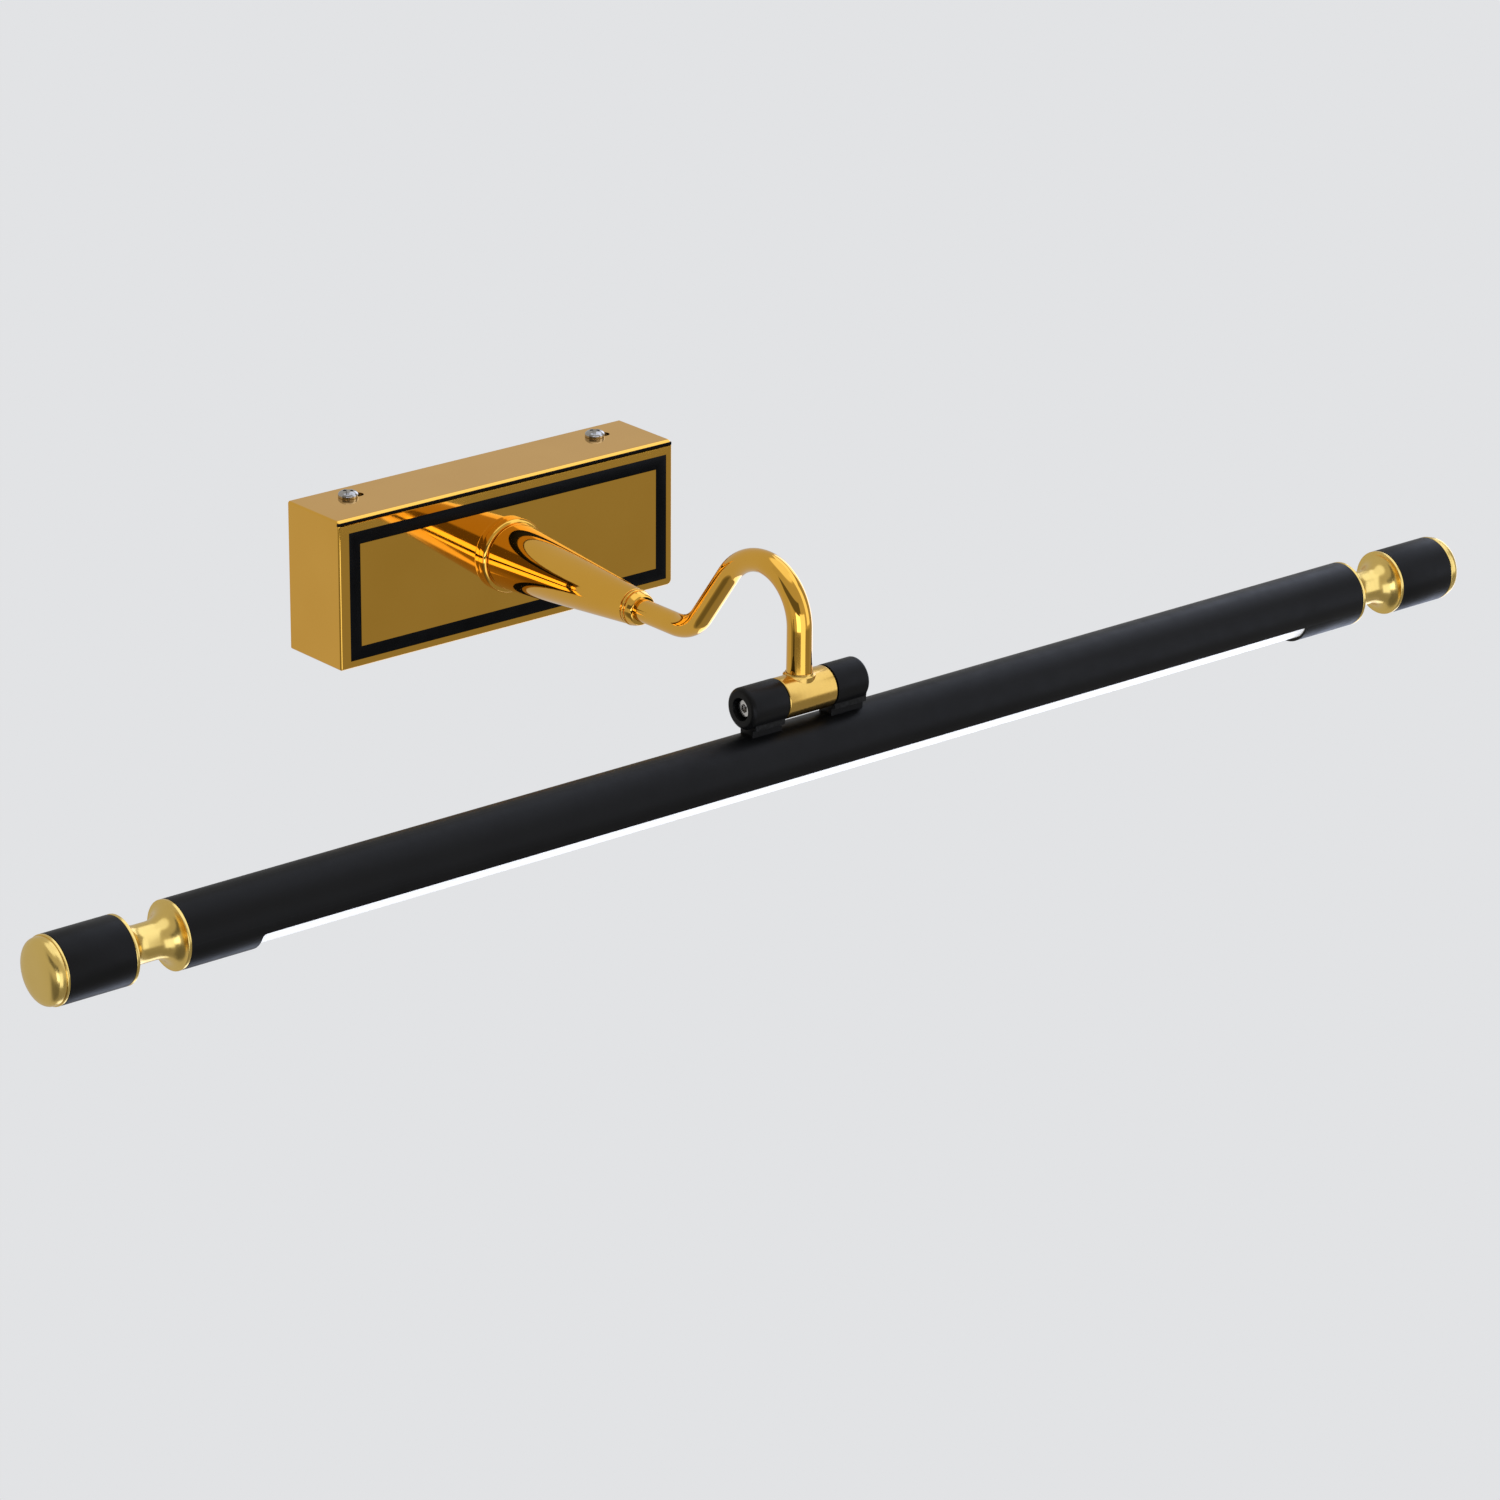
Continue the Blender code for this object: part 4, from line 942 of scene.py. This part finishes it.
def make_cap(label, side):
    """The end cap: a bright lip and a low dome set in from it."""
    node = f"finial_cap_{label}"
    start, end = finial_span(node)
    start -= 0.15 * MM
    dome_r = LAMP_R - CAP_STEP
    rise = end - start - CAP_LIP
    dome = [(start + CAP_LIP + rise * math.sin(a) ** 0.6, dome_r * math.cos(a) ** 0.6)
            for a in [math.radians(d) for d in range(3, 90, 4)]]
    rim = rounded([(start + CAP_SEAT, 0, 0), (start + CAP_SEAT, STUD_BORE, 0), (start, STUD_BORE, 0),
                   (start, LAMP_R, 0.25 * MM), (start + CAP_LIP, LAMP_R, 0.3 * MM),
                   (start + CAP_LIP, dome_r, 0)], 4)
    profile = [tuple(p) for p in rim] + dome + [(end, 0)]
    finial(f"end_cap_{label}", profile, side, SATIN, node, closed=False)


# ---- finishes of the pieces kept as they are ----------------------------------------------

KEPT = {
    "wall_plate": ZINC, "threaded_nipple": ZINC, "nipple_washer": ZINC, "hollow_pivot": ZINC,
    "ear_screw_left": ZINC, "ear_screw_right": ZINC, "finial_stud_left": ZINC, "finial_stud_right": ZINC,
    "nipple_nut": BRASS, "pivot_bush": BRASS, "earth_screw": BRASS,
    "led_driver": WHITE_CASE, "terminal_block": WHITE_CASE,
    "heat_sink": ALUMINIUM, "end_plug_left": ALUMINIUM, "end_plug_right": ALUMINIUM,
    "led_board": BOARD, "friction_washer_left": NYLON, "friction_washer_right": NYLON,
    "arm_lead": SILICONE, "head_lead": SILICONE,
}


def refinish_kept():
    for node, finish in KEPT.items():
        mesh = frame["nodes"][node].data
        mesh.materials.clear()
        mesh.materials.append(finish)


# ---- studio -------------------------------------------------------------------------------

CAMERA_AZIMUTH, CAMERA_ELEVATION, CAMERA_ROLL = -39.76, 20.92, 0.41     # degrees
CAMERA_PLACE = (-1.376, -1.833, 0.785)
CAMERA_LENS = 148.5
FLOOR_DEPTH = 3.0             # far below the lamp, which hangs on a wall
FLOOR_HALF = 40.0

def make_camera():
    """A long lens from the left front, a little above the lamp."""
    azimuth, elevation = math.radians(CAMERA_AZIMUTH), math.radians(CAMERA_ELEVATION)
    back = Vector((math.sin(azimuth) * math.cos(elevation), -math.cos(azimuth) * math.cos(elevation),
                   math.sin(elevation)))
    right = Vector((math.cos(azimuth), math.sin(azimuth), 0))
    up = back.cross(right)
    level = Matrix((right, up, back)).transposed()
    data = bpy.data.cameras.new("studio_camera")
    data.lens = CAMERA_LENS
    data.sensor_width = 36.0
    camera = bpy.data.objects.new("studio_camera", data)
    turn = Matrix.Rotation(math.radians(CAMERA_ROLL), 3, "Z")
    camera.matrix_world = Matrix.Translation(CAMERA_PLACE) @ (level @ turn).to_4x4()
    bpy.context.scene.collection.objects.link(camera)
    bpy.context.scene.camera = camera


def make_floor():
    bm = bmesh.new()
    bmesh.ops.create_grid(bm, x_segments=1, y_segments=1, size=FLOOR_HALF)
    bmesh.ops.translate(bm, vec=(0, 0, -FLOOR_DEPTH), verts=bm.verts)
    floor = loose(bm, "studio_floor")
    mat = bpy.data.materials.new("floor_paper")
    mat.use_nodes = True
    shader = mat.node_tree.nodes["Principled BSDF"]
    shader.inputs["Base Color"].default_value = (0, 0, 0, 1)
    shader.inputs["Roughness"].default_value = 1.0
    shader.inputs["Specular IOR Level"].default_value = 0.0
    shader.inputs["Emission Color"].default_value = (0.76, 0.768, 0.784, 1)
    shader.inputs["Emission Strength"].default_value = 1.0
    floor.data.materials.append(mat)
    floor.visible_glossy = False
    floor.visible_diffuse = False
    floor.visible_shadow = False


def make_fill_light():
    """A weak soft box from the left front that doesn't show in the metal."""
    data = bpy.data.lights.new("fill_box", "AREA")
    data.shape = "RECTANGLE"
    data.size = 1.2
    data.size_y = 1.2
    data.energy = 2
    light = bpy.data.objects.new("fill_box", data)
    light.location = (-1.0, -1.6, 1.8)
    aim = Vector((0, -0.15, 0)) - light.location
    light.rotation_euler = aim.to_track_quat("-Z", "Y").to_euler()
    light.visible_glossy = False
    bpy.context.scene.collection.objects.link(light)


# Soft-edged panels hung round the object: azimuth from the front (+ to the right) and elevation of
# their sides in degrees, width of the soft edge, brightness.
PANELS = (
    (-200, 200, -100, 62, 7, 0.53),    # walls
    (-118, 98, -100, -15, 5, 0.30),    # floor paper in front
    (-112, -38, -70, -20, 12, 0.15),   # its darker left half
    (-118, 30, 26, 54, 8, 0.50),       # wall above the front boxes
    (-105, -18, 5, 27, 3, 0.13),       # black card over the left boxes
    (46, 136, 38, 62, 4, 1.30),        # overhead bank
    (62, 98, -60, 38, 4, 0.38),        # gap between the right boxes
    (32, 62, -11, 70, 3, 1.25),        # right front box
    (98, 130, -80, 29, 3, 1.60),       # right rear box
    (-100, -62, -18, 2, 3, 0.60),      # left box
    (-62, -28, -18, 5, 2, 2.40),       # left front box
    (-28, 14, -35, 9, 3, 1.35),        # front box
)
CEILING = 1.10
BOX_TINT = (0.96, 1.06, 1.34, 1)


class Room:
    """The studio as the metal sees it, drawn on the world sphere."""

    def __init__(self):
        world = bpy.data.worlds.new("studio_room")
        bpy.context.scene.world = world
        world.use_nodes = True
        self.nodes, self.links = world.node_tree.nodes, world.node_tree.links
        split = self.nodes.new("ShaderNodeSeparateXYZ")
        self.links.new(self.nodes.new("ShaderNodeTexCoord").outputs["Generated"], split.inputs["Vector"])
        ahead = self.calc("MULTIPLY", split.outputs["Y"], -1.0)
        self.azimuth = self.calc("DEGREES", self.calc("ARCTAN2", split.outputs["X"], ahead))
        self.elevation = self.calc("DEGREES", self.calc("ARCSINE", split.outputs["Z"]))
        level = CEILING
        for left, right, bottom, top, edge, brightness in PANELS:
            sides = self.calc("MULTIPLY", self.step(self.azimuth, left, edge),
                              self.step(self.azimuth, right, -edge))
            ends = self.calc("MULTIPLY", self.step(self.elevation, bottom, edge),
                             self.step(self.elevation, top, -edge))
            level = self.blend(self.calc("MULTIPLY", sides, ends), level, brightness)
        self.links.new(self.cooled(level), self.nodes["Background"].inputs["Color"])

    def plug(self, socket, value):
        if isinstance(value, (int, float)):
            socket.default_value = value
        else:
            self.links.new(value, socket)

    def calc(self, operation, *values):
        node = self.nodes.new("ShaderNodeMath")
        node.operation = operation
        for socket, value in zip(node.inputs, values):
            self.plug(socket, value)
        return node.outputs[0]

    def step(self, angle, at, edge):
        """0 to 1 across an angle; a negative edge steps down instead."""
        node = self.nodes.new("ShaderNodeMapRange")
        node.interpolation_type = "SMOOTHSTEP"
        self.plug(node.inputs["Value"], angle)
        node.inputs["From Min"].default_value = at - abs(edge) / 2
        node.inputs["From Max"].default_value = at + abs(edge) / 2
        node.inputs["To Min"].default_value = 0.0 if edge > 0 else 1.0
        node.inputs["To Max"].default_value = 1.0 if edge > 0 else 0.0
        return node.outputs["Result"]

    def cooled(self, level):
        """The lit boxes are a little cooler than the walls."""
        tint = self.nodes.new("ShaderNodeMix")
        tint.data_type = "RGBA"
        self.plug(tint.inputs[0], self.step(level, 1.0, 0.4))
        tint.inputs[6].default_value = (1, 1, 1, 1)
        tint.inputs[7].default_value = BOX_TINT
        scaled = self.nodes.new("ShaderNodeVectorMath")
        scaled.operation = "SCALE"
        self.plug(scaled.inputs[0], tint.outputs[2])
        self.plug(scaled.inputs["Scale"], level)
        return scaled.outputs[0]

    def blend(self, mask, below, above):
        node = self.nodes.new("ShaderNodeMix")
        node.data_type = "FLOAT"
        self.plug(node.inputs[0], mask)
        self.plug(node.inputs[2], below)
        self.plug(node.inputs[3], above)
        return node.outputs[0]


def make_studio():
    make_camera()
    make_floor()
    Room()
    make_fill_light()
    bpy.context.scene.view_settings.view_transform = "Standard"


# ---- build --------------------------------------------------------------------------------

make_cover()
make_front_line()
make_seam_shade_strip()
make_cover_screws()
make_flange()
make_cone()
make_ferrule()
make_swan_neck()
make_barrel()
make_left_ear()
make_right_ear()
make_ear_bolt()
make_housing()
make_diffuser()
for end_label, end_side in (("left", -1), ("right", 1)):
    make_spool(end_label, end_side)
    make_sleeve(end_label, end_side)
    make_cap(end_label, end_side)
refinish_kept()
make_studio()
